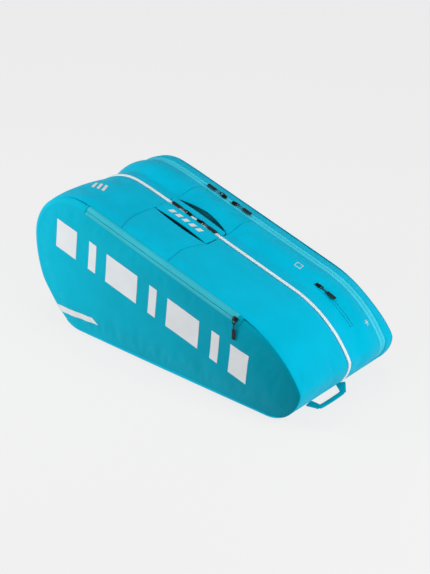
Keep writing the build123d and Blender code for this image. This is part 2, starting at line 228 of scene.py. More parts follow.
# ---------------------------------------------------------------- materials
def new_material(name, color, roughness, **sockets):
    m = bpy.data.materials.new(name)
    m.use_nodes = True
    shader = m.node_tree.nodes["Principled BSDF"]
    shader.inputs["Base Color"].default_value = (*color, 1)
    shader.inputs["Roughness"].default_value = roughness
    for socket, value in sockets.items():
        shader.inputs[socket.replace("_", " ")].default_value = value
    return m, m.node_tree, shader


def node(tree, kind, *sources, **values):
    """A new shader node. sources feed its first inputs; a value is an input's or a setting's."""
    n = tree.nodes.new(kind)
    for key, value in values.items():
        socket = key.replace("_", " ")
        if socket not in n.inputs:
            setattr(n, key, value)
        elif isinstance(value, bpy.types.NodeSocket):
            tree.links.new(value, n.inputs[socket])
        else:
            n.inputs[socket].default_value = value
    for k, source in enumerate(sources):
        tree.links.new(source, n.inputs[k])
    return n


def metres(tree, uv):
    """Coordinates in metres: the cloth's own flat map, or the object's."""
    if uv:
        return node(tree, "ShaderNodeUVMap", uv_map="cloth").outputs[0]
    return tree.nodes.new("ShaderNodeTexCoord").outputs["Object"]


def shade_range(tree, value, color, darker, lighter):
    """A ramp from a darker to a lighter shade of color, driven by value."""
    ramp = node(tree, "ShaderNodeValToRGB", value)
    for mark, spot, factor in zip(ramp.color_ramp.elements, (0.3, 0.7), (darker, lighter)):
        mark.position, mark.color = spot, (*[min(c * factor, 1) for c in color], 1)
    return ramp.outputs[0]


def weave_height(tree, pitch, uv):
    """Height of a plain weave: crossed ribs at the given pitch in metres."""
    waves = [
        node(
            tree, "ShaderNodeTexWave", Vector=metres(tree, uv), bands_direction=direction,
            Scale=1 / (math.pi * pitch), Distortion=0.4, Detail=1.0,
        ).outputs["Fac"]
        for direction in ("X", "Y")
    ]
    return node(tree, "ShaderNodeMath", *waves, operation="MULTIPLY").outputs[0]


def add_bump(tree, shader, height, distance, strength, after=None):
    bump = node(tree, "ShaderNodeBump", Height=height, Distance=distance, Strength=strength)
    if after is not None:
        tree.links.new(after, bump.inputs["Normal"])
    tree.links.new(bump.outputs[0], shader.inputs["Normal"])
    return bump.outputs[0]


def noise(tree, scale, detail):
    where = metres(tree, False)
    return node(
        tree, "ShaderNodeTexNoise", Vector=where, Scale=scale, Detail=detail
    ).outputs["Fac"]


def uneven_roughness(tree, shader, scale, lowest, highest):
    rough = node(
        tree, "ShaderNodeMapRange", Value=noise(tree, scale, 4), To_Min=lowest, To_Max=highest
    )
    tree.links.new(rough.outputs[0], shader.inputs["Roughness"])


def cloth_material(name, color, roughness, pitch=0.0011, uv=True, bump=0.00012, **sockets):
    """Woven cloth: cloudy tint, light fibres, a soft crinkle and a weave of the given pitch."""
    m, tree, shader = new_material(name, color, roughness, **sockets)
    tint = shade_range(tree, noise(tree, 14, 3), color, 0.95, 1.05)
    fibre = shade_range(tree, noise(tree, 900, 2), (1, 1, 1), 0.94, 1.0)
    mix = node(
        tree, "ShaderNodeMix", data_type="RGBA", blend_type="MULTIPLY", Factor=1.0, A=tint, B=fibre
    )
    tree.links.new(mix.outputs["Result"], shader.inputs["Base Color"])
    uneven_roughness(tree, shader, 60, roughness - 0.06, roughness + 0.08)
    crinkle = add_bump(tree, shader, noise(tree, 45, 5), 0.0012, 0.25)
    add_bump(tree, shader, weave_height(tree, pitch, uv), bump, 0.7, after=crinkle)
    return m


def finish_material(name, color, roughness, tint, grains, uneven=None, **sockets):
    """A solid finish with a cloudy tint and grains of bumps.

    tint is (scale, detail, darker, lighter), a grain is (scale, detail, distance, strength).
    """
    m, tree, shader = new_material(name, color, roughness, **sockets)
    scale, detail, darker, lighter = tint
    shade = shade_range(tree, noise(tree, scale, detail), color, darker, lighter)
    tree.links.new(shade, shader.inputs["Base Color"])
    if uneven:
        uneven_roughness(tree, shader, 200, roughness + uneven[0], roughness + uneven[1])
    last = None
    for scale, detail, distance, strength in grains:
        last = add_bump(tree, shader, noise(tree, scale, detail), distance, strength, last)
    return m


def dark_material(name, color, roughness, grain=500, **sockets):
    return finish_material(
        name, color, roughness, (90, 4, 0.8, 1.35), [(grain, 3, 0.00005, 0.5)], (-0.08, 0.12),
        **sockets,
    )


SATIN = {
    "Specular_IOR_Level": 0.12, "Specular_Tint": (0.02, 0.75, 1.0, 1), "Sheen_Weight": 0.03,
    "Sheen_Tint": (0.02, 0.8, 1.0, 1),
}
shell_cloth = cloth_material("shell_cloth", (0.000, 0.415, 0.605), 0.55, **SATIN)
# The panel cloth is darker and slightly greener than the shell cloth: the greener hue is the panel
# fabric's own, the darker value is painted shade for panels facing sideways.
panel_cloth = cloth_material("panel_cloth", (0.000, 0.335, 0.465), 0.55, **SATIN)


def paint_light_and_shade_along(m, stops):
    """Multiply a cloth's colour by painted light and shade that change along the bag. stops are (x,
    factor).
    """
    tree = m.node_tree
    color = tree.nodes["Principled BSDF"].inputs["Base Color"]
    first, last = stops[0][0], stops[-1][0]
    peak = max(factor for _, factor in stops)
    place_x = node(tree, "ShaderNodeSeparateXYZ", metres(tree, False)).outputs["X"]
    share = node(tree, "ShaderNodeMapRange", Value=place_x, From_Min=first, From_Max=last)
    ramp = node(tree, "ShaderNodeValToRGB", share.outputs[0])
    ramp.color_ramp.interpolation = "B_SPLINE"
    marks = ramp.color_ramp.elements
    for x, factor in stops:
        spot = (x - first) / (last - first)
        mark = marks[0] if x == first else marks[-1] if x == last else marks.new(spot)
        mark.position, mark.color = spot, (factor / peak,) * 3 + (1,)
    shade = node(tree, "ShaderNodeVectorMath", ramp.outputs[0], operation="SCALE", Scale=peak)
    before = color.links[0].from_socket
    mix = node(tree, "ShaderNodeVectorMath", before, shade.outputs[0], operation="MULTIPLY")
    tree.links.new(mix.outputs[0], color)


# Painted light and shade on the panel cloth: brighter at the head end, darker towards the tail.
paint_light_and_shade_along(panel_cloth, [(-0.38, 1.20), (-0.10, 1.00), (0.18, 0.86), (0.32, 0.72), (0.38, 0.60)])
lining_cloth = cloth_material("lining_cloth", (0.004, 0.085, 0.115), 0.7, 0.0009)
# The trough lining is the lining cloth made about three times as bright: painted light for the
# light that hardly reaches down into the handle slits.
trough_lining_painted_light = cloth_material("trough_lining_painted_light", (0.004, 0.260, 0.340), 0.75, 0.0009)
tape_cloth_painted_sheen, pocket_tape, webbing_cloth = (
    cloth_material(name, color, roughness, pitch, bump=bump, **SATIN)
    for name, color, roughness, pitch, bump in (
        # The zip tape cloth is lighter and paler than the shell cloth: painted sheen.
        ("tape_cloth_painted_sheen", (0.050, 0.540, 0.700), 0.6, 0.0016, 0.0003),
        ("pocket_tape", (0.035, 0.41, 0.51), 0.6, 0.0016, 0.0003),
        ("webbing_cloth", (0.001, 0.36, 0.48), 0.62, 0.0022, 0.0005),
    )
)
mesh_cloth = cloth_material("mesh_cloth", (0.004, 0.10, 0.13), 0.75, 0.0030, bump=0.0006)
thread = cloth_material("thread", (0.002, 0.33, 0.44), 0.5, 0.0008, uv=False)
white_print = finish_material(
    "white_print", (0.60, 0.63, 0.655), 0.5, (30, 4, 0.96, 1.02), [(700, 3, 0.00006, 0.5)]
)
white_coil = finish_material(
    "white_coil", (0.66, 0.77, 0.80), 0.35, (120, 3, 0.93, 1.02), [(1500, 2, 0.00004, 0.4)]
)
foil = finish_material(
    "thermal_foil", (0.62, 0.64, 0.66), 0.28, (40, 4, 0.88, 1.08),
    [(70, 6, 0.0016, 0.6), (420, 3, 0.0003, 0.4)], Metallic=0.9,
)
slider_black = dark_material("slider_black", (0.018, 0.018, 0.020), 0.32, Metallic=0.6)
grip_black = dark_material("grip_black", (0.009, 0.014, 0.016), 0.55, Specular_IOR_Level=0.2)
buckle_black = dark_material("buckle_black", (0.02, 0.02, 0.022), 0.45, 900)
board_grey = dark_material("board_grey", (0.05, 0.055, 0.06), 0.7)


# ---------------------------------------------------------------- mesh helpers
def make_object(name, vertices, faces, uv=None, materials=()):
    mesh = bpy.data.meshes.new(name)
    mesh.from_pydata([tuple(v) for v in vertices], [], faces)
    if uv is not None:
        layer = mesh.uv_layers.new(name="cloth")
        uv = np.asarray(uv, float)
        loops = np.zeros(len(mesh.loops), int)
        mesh.loops.foreach_get("vertex_index", loops)
        layer.data.foreach_set("uv", uv[loops].ravel())
    mesh.polygons.foreach_set("use_smooth", [True] * len(mesh.polygons))
    for m in materials:
        mesh.materials.append(m)
    obj = bpy.data.objects.new(name, mesh)
    scene.collection.objects.link(obj)
    return obj


def grid_faces(rows, cols, wrap=False):
    """Faces of a grid whose second direction comes first in the winding."""
    faces = []
    for i in range(rows - 1):
        for j in range(cols if wrap else cols - 1):
            a, b = i * cols + j, i * cols + (j + 1) % cols
            faces.append((a, b, b + cols, a + cols))
    return faces


def thicken(obj, depth, inner=None, offset=-1.0):
    """Gives a sheet its thickness, with another material on the inner side if there is one."""
    if inner is not None:
        obj.data.materials.append(inner)
    solid = obj.modifiers.new("thickness", "SOLIDIFY")
    solid.thickness, solid.offset = depth, offset
    if inner is not None:
        solid.material_offset = len(obj.data.materials) - 1
    return obj


def smooth(obj):
    sub = obj.modifiers.new("smooth", "SUBSURF")
    sub.levels = sub.render_levels = 1
    return obj


def place(obj, body, slot_name, *nodes):
    """Puts a piece on its body and hides the CAD nodes it stands for. slot_name is not used."""
    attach(obj, body)
    if nodes:
        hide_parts(*nodes)
    return obj


def hump(t):
    """0 at both ends of 0..1 and 1 in the middle."""
    return np.sin(np.pi * np.clip(t, 0, 1))


def ripple(a, b, size, seed=0.0):
    """Smooth unevenness between -1 and 1 over two coordinates, with features of about size."""
    a, b = np.asarray(a) / size, np.asarray(b) / size
    total = np.sin(2.1 * a + 1.3 * b + seed) + np.sin(-1.7 * a + 2.9 * b + 2.1 * seed + 1)
    total += np.sin(3.7 * a + 0.6 * b + 3.3 * seed + 2)
    total += np.sin(0.9 * a - 3.8 * b + seed * 5)
    return total / 4


CLOTH_THICKNESS = 0.0020
GUSSET_STEP = 0.007
HEM_STEPS = np.array([0.0, 0.0008, 0.002, 0.0042])
HEM_DIP, HEM_WIDTH = 0.0013, 0.0016


def spread(length):
    """Shares of a length: even steps, with closer ones at both hems."""
    count = max(3, round(length / GUSSET_STEP))
    even = np.linspace(HEM_STEPS[-1], length - HEM_STEPS[-1], count)
    near = HEM_STEPS[:-1]
    return np.concatenate([near, even, length - near[::-1]]) / length


def gusset(name, s_ends, y_ends, lift):
    """A piece of the band round the bag. s_ends are functions of y, y_ends of the share along s."""
    s_ends = [e if callable(e) else (lambda y, e=e: np.full_like(y, e)) for e in s_ends]
    y_ends = [e if callable(e) else (lambda u, e=e: np.full_like(u, e)) for e in y_ends]
    middle = np.array([0.5 * float(y_ends[0](np.array(0.5)) + y_ends[1](np.array(0.5)))])
    length = float((s_ends[1](middle) - s_ends[0](middle))[0])
    width = float(y_ends[1](np.array(0.5)) - y_ends[0](np.array(0.5)))
    u, v = np.meshgrid(spread(length), spread(width), indexing="ij")
    y = y_ends[0](u) + (y_ends[1](u) - y_ends[0](u)) * v
    s0, s1 = s_ends[0](y), s_ends[1](y)
    s = s0 + (s1 - s0) * u
    edge = np.minimum(np.minimum(u, 1 - u) * length, np.minimum(v, 1 - v) * width)
    off = lift(s, y) - HEM_DIP * np.exp(-((edge / HEM_WIDTH) ** 2))
    points = soft_points(s.ravel(), y.ravel(), off.ravel())
    uv = np.stack([s.ravel(), y.ravel()], 1)
    obj = make_object(name, points, grid_faces(*u.shape), uv, (shell_cloth,))
    pins = 1 - ease((edge.ravel() - 0.002) / 0.012)
    return obj, pins


def along_x(table):
    """Arc length of a seam on the sloping top, from a table of (y, x)."""
    ys, xs = zip(*table)
    return lambda y: rim.where_x(np.interp(y, ys, xs))


# ---------------------------------------------------------------- flat shapes inside the outline
def inset_outline(inset, step):
    """Points x, z round the outline at about the step, moved in by inset."""
    count = int(rim.length / step)
    x, z, nx, nz = rim.at(np.arange(count) * rim.length / count)
    return np.stack([x - inset * nx, z - inset * nz], 1)


def inside(points, loop):
    """Which of the points x, z lie inside a closed loop, by counting crossings."""
    x, z = points[:, 0], points[:, 1]
    result = np.zeros(len(points), bool)
    (ax, az), (bx, bz) = loop.T, np.roll(loop, -1, axis=0).T
    for i in range(len(loop)):
        crosses = (az[i] > z) != (bz[i] > z)
        slope = (bx[i] - ax[i]) / (bz[i] - az[i] + 1e-15)
        result ^= crosses & (x < ax[i] + slope * (z - az[i]))
    return result


def depth_inside(points):
    """Distance of each point to the bag's outline."""
    loop = inset_outline(0.0, 0.002)
    best = np.full(len(points), 9.0)
    for start in range(0, len(loop), 40):
        part = loop[start:start + 40]
        best = np.minimum(best, np.linalg.norm(points[:, None] - part[None], axis=2).min(axis=1))
    return best


def flat_shape(inset, step, rings):
    """Points x, z inside the outline, triangles, the rim's point count and each point's depth."""
    loops = [inset_outline(inset + r, step) for r in rings]
    inner = inset_outline(inset + rings[-1] + 0.45 * step, step)
    scatter = [
        (x, z)
        for row, z in enumerate(np.arange(0.004, HEIGHT, step * 0.87))
        for x in np.arange(HEAD_X, TAIL_X, step) + (row % 2) * step / 2
    ]
    scatter = np.array(scatter)
    flat = np.concatenate(loops + [scatter[inside(scatter, inner)]])
    count = len(loops[0])
    edges = [(i, (i + 1) % count) for i in range(count)]
    coords, _, faces, _, _, _ = delaunay_2d_cdt([Vector(p) for p in flat], edges, [], 1, 1e-7)
    flat = np.array([tuple(c) for c in coords])
    return flat, [tuple(f) for f in faces], count, depth_inside(flat)


def dish(depth, inset, seam_y, face_y, edge_radius):
    """y of a padded panel's face: straight up from the seam, then rounded over."""
    way = 1 if face_y > seam_y else -1
    radius = edge_radius - inset
    roll = np.clip((depth - inset) / radius, 0, 1)
    return face_y - way * (inset + radius - radius * np.sqrt(np.clip(1 - (1 - roll) ** 2, 0, 1)))


EDGE_RINGS = [0.0, 0.0004, 0.0012, 0.0026, 0.0046, 0.0072, 0.0102, 0.0135, 0.018]


def closed_slab(name, shape, front_y, rear_y, materials):
    """A closed piece between two heights over a flat shape."""
    flat, faces, count, _ = shape
    n = len(flat)
    points = np.concatenate([
        np.stack([flat[:, 0], front_y, flat[:, 1]], 1),
        np.stack([flat[:, 0], rear_y, flat[:, 1]], 1),
    ])
    every = list(faces) + [tuple(i + n for i in reversed(f)) for f in faces]
    every += [((i + 1) % count, i, i + n, (i + 1) % count + n) for i in range(count)]
    return make_object(name, points, every, np.concatenate([flat, flat]), materials)


# ---------------------------------------------------------------- lofted straps, cords and grips
def loft(name, stations, materials, squareness=0.35, count=16, closed=False):
    """A closed loft. A station is (centre, half-width vector, half-thickness vector)."""
    angle = np.arange(count) * 2 * math.pi / count
    c, s = np.cos(angle), np.sin(angle)
    c, s = (np.sign(v) * np.abs(v) ** squareness for v in (c, s))
    points, uv, run = [], [], 0.0
    last = None
    for centre, side, up in stations:
        run += (centre - last).length if last is not None else 0.0
        last = centre
        for a, b in zip(c, s):
            points.append(centre + side * a + up * b)
            uv.append((run, side.length * a + 0.2 * up.length * b))
    faces = grid_faces(len(stations), count, wrap=True)
    if closed:
        end = (len(stations) - 1) * count
        faces += [(end + j, end + (j + 1) % count, (j + 1) % count, j) for j in range(count)]
    else:
        faces.append(tuple(reversed(range(count))))
        faces.append(tuple(range((len(stations) - 1) * count, len(stations) * count)))
    obj = make_object(name, points, faces, uv, materials)
    bm = bmesh.new()
    bm.from_mesh(obj.data)
    bmesh.ops.recalc_face_normals(bm, faces=bm.faces)
    bm.to_mesh(obj.data)
    bm.free()
    return obj


def tube(name, path, radius, materials, closed=False, count=10):
    """A round cord along a path of points."""
    stations = []
    total = len(path)
    for i, p in enumerate(path):
        before = path[i - 1] if i or closed else path[0]
        after = path[(i + 1) % total] if i < total - 1 or closed else path[-1]
        way = (after - before).normalized()
        side = way.cross(Vector((0, 0.31, 0.95)) if abs(way.z) < 0.9 else Vector((0, 1, 0)))
        side.normalize()
        r = radius(i / (total - 1)) if callable(radius) else radius
        stations.append((p, side * r, way.cross(side) * r))
    return loft(name, stations, materials, 1.0, count, closed)


def join(name, parts):
    """Joins meshes into the first of them."""
    for o in bpy.context.selected_objects:
        o.select_set(False)
    for o in parts:
        o.select_set(True)
    bpy.context.view_layer.objects.active = parts[0]
    with bpy.context.temp_override(
        active_object=parts[0], object=parts[0], selected_editable_objects=parts
    ):
        bpy.ops.object.join()
    parts[0].name = name
    return parts[0]


# ---------------------------------------------------------------- cloth run
CLOTH_FRAMES = 20
CLOTH_SLACK = 0.006
cloths = []


def settle(obj, pins, pressure, cap):
    """Marks a sheet for the cloth run. pins is 1 where it is sewn and 0 where it is free."""
    group = obj.vertex_groups.new(name="sewn")
    for i, w in enumerate(pins):
        if w > 0.01:
            group.add([i], float(w), "REPLACE")
    cloths.append((obj, cap))
    cloth = obj.modifiers.new("cloth", "CLOTH")
    cloth.point_cache.frame_end = CLOTH_FRAMES
    s = cloth.settings
    s.quality = 5
    s.mass = 0.3
    s.tension_stiffness = s.compression_stiffness = 15
    s.shear_stiffness = 5
    s.bending_stiffness = 2.0
    s.use_pressure = True
    s.uniform_pressure_force = pressure
    s.shrink_min = -CLOTH_SLACK
    s.vertex_group_mass = "sewn"
    s.effector_weights.gravity = 0


def points_of(mesh):
    flat = np.empty(len(mesh.vertices) * 3)
    mesh.vertices.foreach_get("co", flat)
    return flat.reshape(-1, 3)


def run_cloth():
    """Runs every marked sheet together, caps how far a point may go, and keeps the result."""
    for f in range(1, CLOTH_FRAMES + 1):
        scene.frame_set(f)
    graph = bpy.context.evaluated_depsgraph_get()
    for obj, cap in cloths:
        before = points_of(obj.data)
        move = points_of(obj.evaluated_get(graph).to_mesh()) - before
        size = np.linalg.norm(move, axis=1, keepdims=True)
        move *= np.tanh(size / cap) * cap / np.maximum(size, 1e-9)
        obj.modifiers.remove(obj.modifiers["cloth"])
        obj.data.vertices.foreach_set("co", (before + move).ravel())
        obj.data.update()
    scene.frame_set(1)


# ---------------------------------------------------------------- shape of the soft band
def crown(y, y_from, y_to, height, power=0.6):
    """A rise across the band, 0 at both edges."""
    t = np.clip((y - y_from) / (y_to - y_from), 0, 1)
    return height * (4 * t * (1 - t)) ** power


def ends_fade(s):
    """1 along the top and 0 where the band meets the base, so that the corners stay low."""
    return ease((s - TAIL_S) / 0.09) * ease((HEAD_S - s) / 0.09)


def handle_share(s):
    """Where s lies along the handle, 0 at its tail end and 1 at its head end."""
    return (s - HANDLE_S[0]) / (HANDLE_S[1] - HANDLE_S[0])


ACCESSORY_Y = (low("accessory_zip_tape").y + high("accessory_zip_tape").y) / 2
ACCESSORY_PULL_S = rim.where_x(0.246)
ACCESSORY_TRAVEL = 0.101    # along the band, towards the tail


def front_lift(s, y):
    """Crown of the front gusset, with the padding under the patch beside the handle."""
    body = crown(y, FRONT_Y, FRONT_EDGE_Y, 0.0040, 0.9) * ends_fade(s)
    pad = 0.0025 * hump(handle_share(s)) ** 0.5 * crown(y, FRONT_Y, FRONT_SLIT_Y[0], 1.0)
    return body + pad + 0.0006 * ripple(s, y, 0.07, 1.0)


def mid_lift(s, y):
    """A valley behind the white zip and a bulge beyond it, flat where sliders have to pass."""
    t = (y - MID_EDGE_Y[0]) / (MID_EDGE_Y[1] - MID_EDGE_Y[0])
    valley = -0.0050 * np.exp(-(((t - 0.27) / 0.16) ** 2))
    bulge = 0.0065 * np.exp(-(((t - 0.72) / 0.26) ** 2)) - 0.0020 * np.clip(t - 0.85, 0, 1) / 0.15
    beyond = ease((np.abs(handle_share(s) - 0.5) - 0.42) / 0.18)
    uneven = 0.0009 * ripple(s, y, 0.055, 4.0) * hump(t)
    before_pull = ACCESSORY_PULL_S - s
    travel = window(before_pull, -0.050, -0.015, ACCESSORY_TRAVEL + 0.015, ACCESSORY_TRAVEL + 0.050)
    pull_strip = travel * np.exp(-(((y - ACCESSORY_Y) / 0.016) ** 2))
    bulge = bulge * (1 - ease((y - 0.108) / 0.014)) * (1 - 0.9 * pull_strip)
    return (valley * (0.25 + 0.75 * beyond) + bulge * hump(t) ** 0.4) * ends_fade(s) + uneven


def rear_lift(s, y):
    return crown(y, REAR_EDGE_Y, REAR_Y, 0.0012)


FRONT_HEAD_SEAM = along_x([
    (FRONT_Y, -0.131), (-0.153, -0.134), (-0.130, -0.142), (-0.107, -0.146), (-0.075, -0.144),
    (-0.045, -0.141), (FRONT_EDGE_Y, -0.139),
])
FRONT_TAIL_SEAM = along_x([
    (FRONT_Y, 0.004), (-0.141, 0.001), (-0.115, -0.004), (-0.098, -0.004), (-0.070, 0.002),
    (-0.045, 0.008), (-0.041, HANDLE_X[1] + 0.0012), (FRONT_EDGE_Y, HANDLE_X[1] + 0.0012),
])
MID_HEAD_SEAM = along_x([(MID_EDGE_Y[0], HANDLE_X[0]), (MID_EDGE_Y[1], HANDLE_X[0] + 0.004)])
MID_TAIL_SEAM = along_x([(MID_EDGE_Y[0], HANDLE_X[1]), (MID_EDGE_Y[1], HANDLE_X[1] - 0.004)])


def lens(middle, half):
    """One edge of a lens-shaped opening, by share along it."""
    return lambda u: middle + half * hump(u) ** 0.75


SLIT_MIDDLE, SLIT_HALF = sum(FRONT_SLIT_Y) / 2, 0.0048
front_slit_far = lens(SLIT_MIDDLE, -SLIT_HALF)
front_slit_near = lens(SLIT_MIDDLE, SLIT_HALF)
rear_slit_near = lens(REAR_SLIT_Y[0] - 0.002, 0.002)
rear_slit_far = lens(REAR_SLIT_Y[0] - 0.001, REAR_SLIT_Y[1] - REAR_SLIT_Y[0] + 0.001)


REAR_TOP_S = [rim.where_x(f("rear_gusset_top").x) for f in (high, low)]
# Piece, body, its ends along the band, its edges across it, and its lift
SHELL_PIECES = [
    ("front_gusset_head", "front_shell", (FRONT_HEAD_SEAM, HEAD_S),
     (FRONT_Y, FRONT_EDGE_Y), front_lift),
    ("front_gusset_patch", "front_shell", (FRONT_TAIL_SEAM, FRONT_HEAD_SEAM),
     (FRONT_Y, front_slit_far), front_lift),
    ("front_gusset_tail", "front_shell", (TAIL_S, FRONT_TAIL_SEAM),
     (FRONT_Y, FRONT_EDGE_Y), front_lift),
    ("mid_gusset_head", "core", (MID_HEAD_SEAM, HEAD_S), MID_EDGE_Y, mid_lift),
    ("mid_gusset_patch", "core", (MID_TAIL_SEAM, MID_HEAD_SEAM),
     (rear_slit_far, MID_EDGE_Y[1]), mid_lift),
    ("mid_gusset_tail", "core", (TAIL_S, MID_TAIL_SEAM), MID_EDGE_Y, mid_lift),
    ("rear_gusset_head", "rear_shell", (REAR_TOP_S[1], HEAD_S), (REAR_EDGE_Y, REAR_Y), rear_lift),
    ("rear_gusset_top", "rear_shell", REAR_TOP_S, (REAR_EDGE_Y, REAR_Y), rear_lift),
    ("rear_gusset_tail", "rear_shell", (TAIL_S, REAR_TOP_S[0]), (REAR_EDGE_Y, REAR_Y), rear_lift),
]
covers = {}
for node_name, body, s_ends, y_ends, lift in SHELL_PIECES:
    name = node_name + "_cover"
    cover, pins = gusset(name, s_ends, y_ends, lift)
    settle(cover, pins, pressure=1.5, cap=0.0025)
    covers[name] = (cover, body, node_name)

flat, faces, _, depth = flat_shape(0.0, 0.008, EDGE_RINGS)


def soft_flat(flat, depth, seam_y):
    """Flat points moved in with the settled rim, less and less away from it."""
    table = np.stack([rim.table_x, rim.table_z], 1)
    nearest = np.array([int(np.argmin(((table - p) ** 2).sum(axis=1))) for p in flat])
    s = rim.table_s[nearest]
    _, _, nx, nz = rim.at(s)
    rise = seam_rise(s, seam_y)
    move = (tuck(s, seam_y) + rise) * (1 - ease(depth / 0.075)) - rise * below_seam(depth)
    return flat - move[:, None] * np.stack([nx, nz], 1)


def panel_cover(name, seam_y, face_y, edge_radius, inward):
    """Front or rear panel: rounded over from its seam, softer at the tail and low down."""
    height = dish(depth, 0.0, seam_y, face_y, edge_radius) - seam_y
    tail_side = ease((flat[:, 0] - 0.20) / 0.10)
    low_side = 1 - ease((flat[:, 1] - 0.02) / 0.06)
    soft = np.maximum(0.50 * tail_side, 0.35 * low_side) * (1 - ease((depth - 0.002) / 0.080))
    middle = ease((depth - edge_radius) / 0.10)
    y = seam_y + height * (1 - soft)
    y = y + inward * middle + 0.0007 * ripple(flat[:, 0], flat[:, 1], 0.075, 2.5) * middle
    moved = soft_flat(flat, depth, seam_y)
    way = faces if face_y < seam_y else [tuple(reversed(f)) for f in faces]
    points = np.stack([moved[:, 0], y, moved[:, 1]], 1)
    cover = make_object(name, points, way, flat, (panel_cloth,))
    settle(cover, 1 - ease((depth - 0.8 * edge_radius) / 0.03), pressure=1.2, cap=0.003)
    return cover


EDGE_R, REAR_EDGE_R = 0.013, 0.0092
covers["front_panel_cover"] = (
    panel_cover("front_panel_cover", FRONT_Y, FRONT_FACE_Y, EDGE_R, 0.002),
    "front_shell", "front_panel",
)
covers["rear_panel_cover"] = (
    panel_cover("rear_panel_cover", REAR_Y, REAR_FACE_Y, REAR_EDGE_R, -0.001),
    "rear_shell", "rear_panel",
)
run_cloth()
for cover, body, node_name in covers.values():
    thicken(cover, CLOTH_THICKNESS, lining_cloth)
    place(smooth(cover), body, "shell_fabric", node_name)


# ---------------------------------------------------------------- base and the two strips beside it
def base_strip(name, y_range, step):
    """Cloth under the bag, from the foot of the head end to the foot of the tail end."""
    s_range = (HEAD_S - rim.length, TAIL_S)
    rows = round((s_range[1] - s_range[0]) / step) + 1
    cols = max(4, round((y_range[1] - y_range[0]) / step) + 1)
    s, y = (v.ravel() for v in np.meshgrid(
        np.linspace(*s_range, rows), np.linspace(*y_range, cols), indexing="ij"
    ))
    points = soft_points(s, y, 0.0)
    obj = make_object(name, points, grid_faces(rows, cols), np.stack([s, y], 1), (shell_cloth,))
    return thicken(obj, CLOTH_THICKNESS, lining_cloth)


base_front_y, base_rear_y = low("base_panel").y, high("base_panel").y
base_cover = place(
    base_strip("base_cover", (base_front_y, base_rear_y), 0.010), "core", "shell_fabric",
    "base_panel",
)
for name, seam_y, edge_y, shell in (
    ("front_fold", FRONT_Y, base_front_y, "front_shell"),
    ("rear_fold", REAR_Y, base_rear_y, "rear_shell"),
):
    fold = base_strip(name, tuple(sorted((seam_y, edge_y))), 0.0033)
    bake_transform(fold)


# ---------------------------------------------------------------- surfaces to sew and print on
def surface_tree(*names):
    """Search tree of finished covers, as they will be shown."""
    graph = bpy.context.evaluated_depsgraph_get()
    points, polygons = [], []
    for name in names:
        shown = covers[name][0].evaluated_get(graph)
        mesh = shown.to_mesh()
        start = len(points)
        points += [shown.matrix_world @ v.co for v in mesh.vertices]
        polygons += [tuple(start + i for i in p.vertices) for p in mesh.polygons]
        shown.to_mesh_clear()
    return BVHTree.FromPolygons(points, polygons)


front_tree = surface_tree("front_panel_cover")
band_tree = surface_tree(*[n for n in covers if "gusset" in n])


SEARCH = 0.03               # how far off the guessed surface a search starts


def on_band(s, y, lift=0.0004):
    """Place and outward direction on the finished band."""
    out, base = outward(s), surface_point(s, y)
    hit = band_tree.ray_cast(base + SEARCH * out, -out, 2 * SEARCH)
    return (hit[0] if hit[0] is not None else base) + lift * out, out


def on_front(x, z, lift):
    """Place and outward direction on the finished front panel."""
    start = Vector((x, FRONT_FACE_Y - SEARCH, z))
    hit = front_tree.ray_cast(start, Vector((0, 1, 0)), 2 * SEARCH)
    if hit[0] is None:
        return Vector((x, FRONT_Y, z)), Vector((0, -1, 0))
    return hit[0] + lift * hit[1], hit[1]


def stitches(name, body, path, where, slot_name="shell_fabric", pitch=0.0036):
    """A row of small raised stitches along a path of surface coordinates."""
    spots = [where(*p) for p in path]
    run = np.cumsum([0.0] + [(b[0] - a[0]).length for a, b in zip(spots, spots[1:])])
    centres, outs = (np.array([tuple(spot[k]) for spot in spots]) for k in (0, 1))
    points, faces = [], []
    half, thick = 0.34 * pitch, 0.00042

    def between(t, values):
        return Vector([float(np.interp(t, run, values[:, k])) for k in range(3)])

    for t in np.arange(pitch / 2, run[-1], pitch):
        a, b = between(t - half, centres), between(t + half, centres)
        out = between(t, outs).normalized()
        side = (b - a).normalized().cross(out) * thick
        middle, rise = (a + b) / 2, out * thick
        k = len(points)
        points += [a - 0.6 * rise, b - 0.6 * rise, middle + side, middle + rise, middle - side]
        faces += [(k, k + 2, k + 3), (k, k + 3, k + 4)]
        faces += [(k + 1, k + 3, k + 2), (k + 1, k + 4, k + 3)]
    return place(make_object(name, points, faces, None, (thread,)), body, slot_name)


# ---------------------------------------------------------------- zips
TOOTH_PITCH = 0.0026
TOOTH_ACROSS = [(0.00, -0.0006), (0.0003, 0.0005), (0.0011, 0.0010), (0.0024, 0.0010),
                (0.0030, 0.0006), (0.0034, -0.0008)]
TOOTH_ALONG = [(-0.40, 0.0), (-0.25, 0.85), (0.0, 1.0), (0.25, 0.85), (0.40, 0.0)]


def zip_teeth(name, centre_y, side, lift, inward=False):
    """One half of a coil: a closely set row of rounded teeth."""
    way = -1 if inward else 1
    starts = np.arange(TAIL_S + TOOTH_PITCH, HEAD_S - TOOTH_PITCH, TOOTH_PITCH)
    starts = starts + (side > 0) * TOOTH_PITCH / 2
    s = (starts[:, None] + TOOTH_PITCH * np.array([a for a, _ in TOOTH_ALONG])[None]).ravel()
    rise = np.tile([r for _, r in TOOTH_ALONG], len(starts))[:, None]
    across, height = (np.array(v)[None] for v in zip(*TOOTH_ACROSS))
    off = lift + way * (height * rise + (1 - rise) * -0.0006)
    y = centre_y + side * (0.0002 + np.broadcast_to(across, off.shape))
    cols, rows = len(TOOTH_ACROSS), len(TOOTH_ALONG)
    points = soft_points(np.repeat(s, cols), y.ravel(), off.ravel())
    one = grid_faces(rows, cols)
    if (side < 0) != inward:
        one = [tuple(reversed(f)) for f in one]
    faces = [tuple(k * cols * rows + i for i in f) for k in range(len(starts)) for f in one]
    return make_object(name, points, faces)


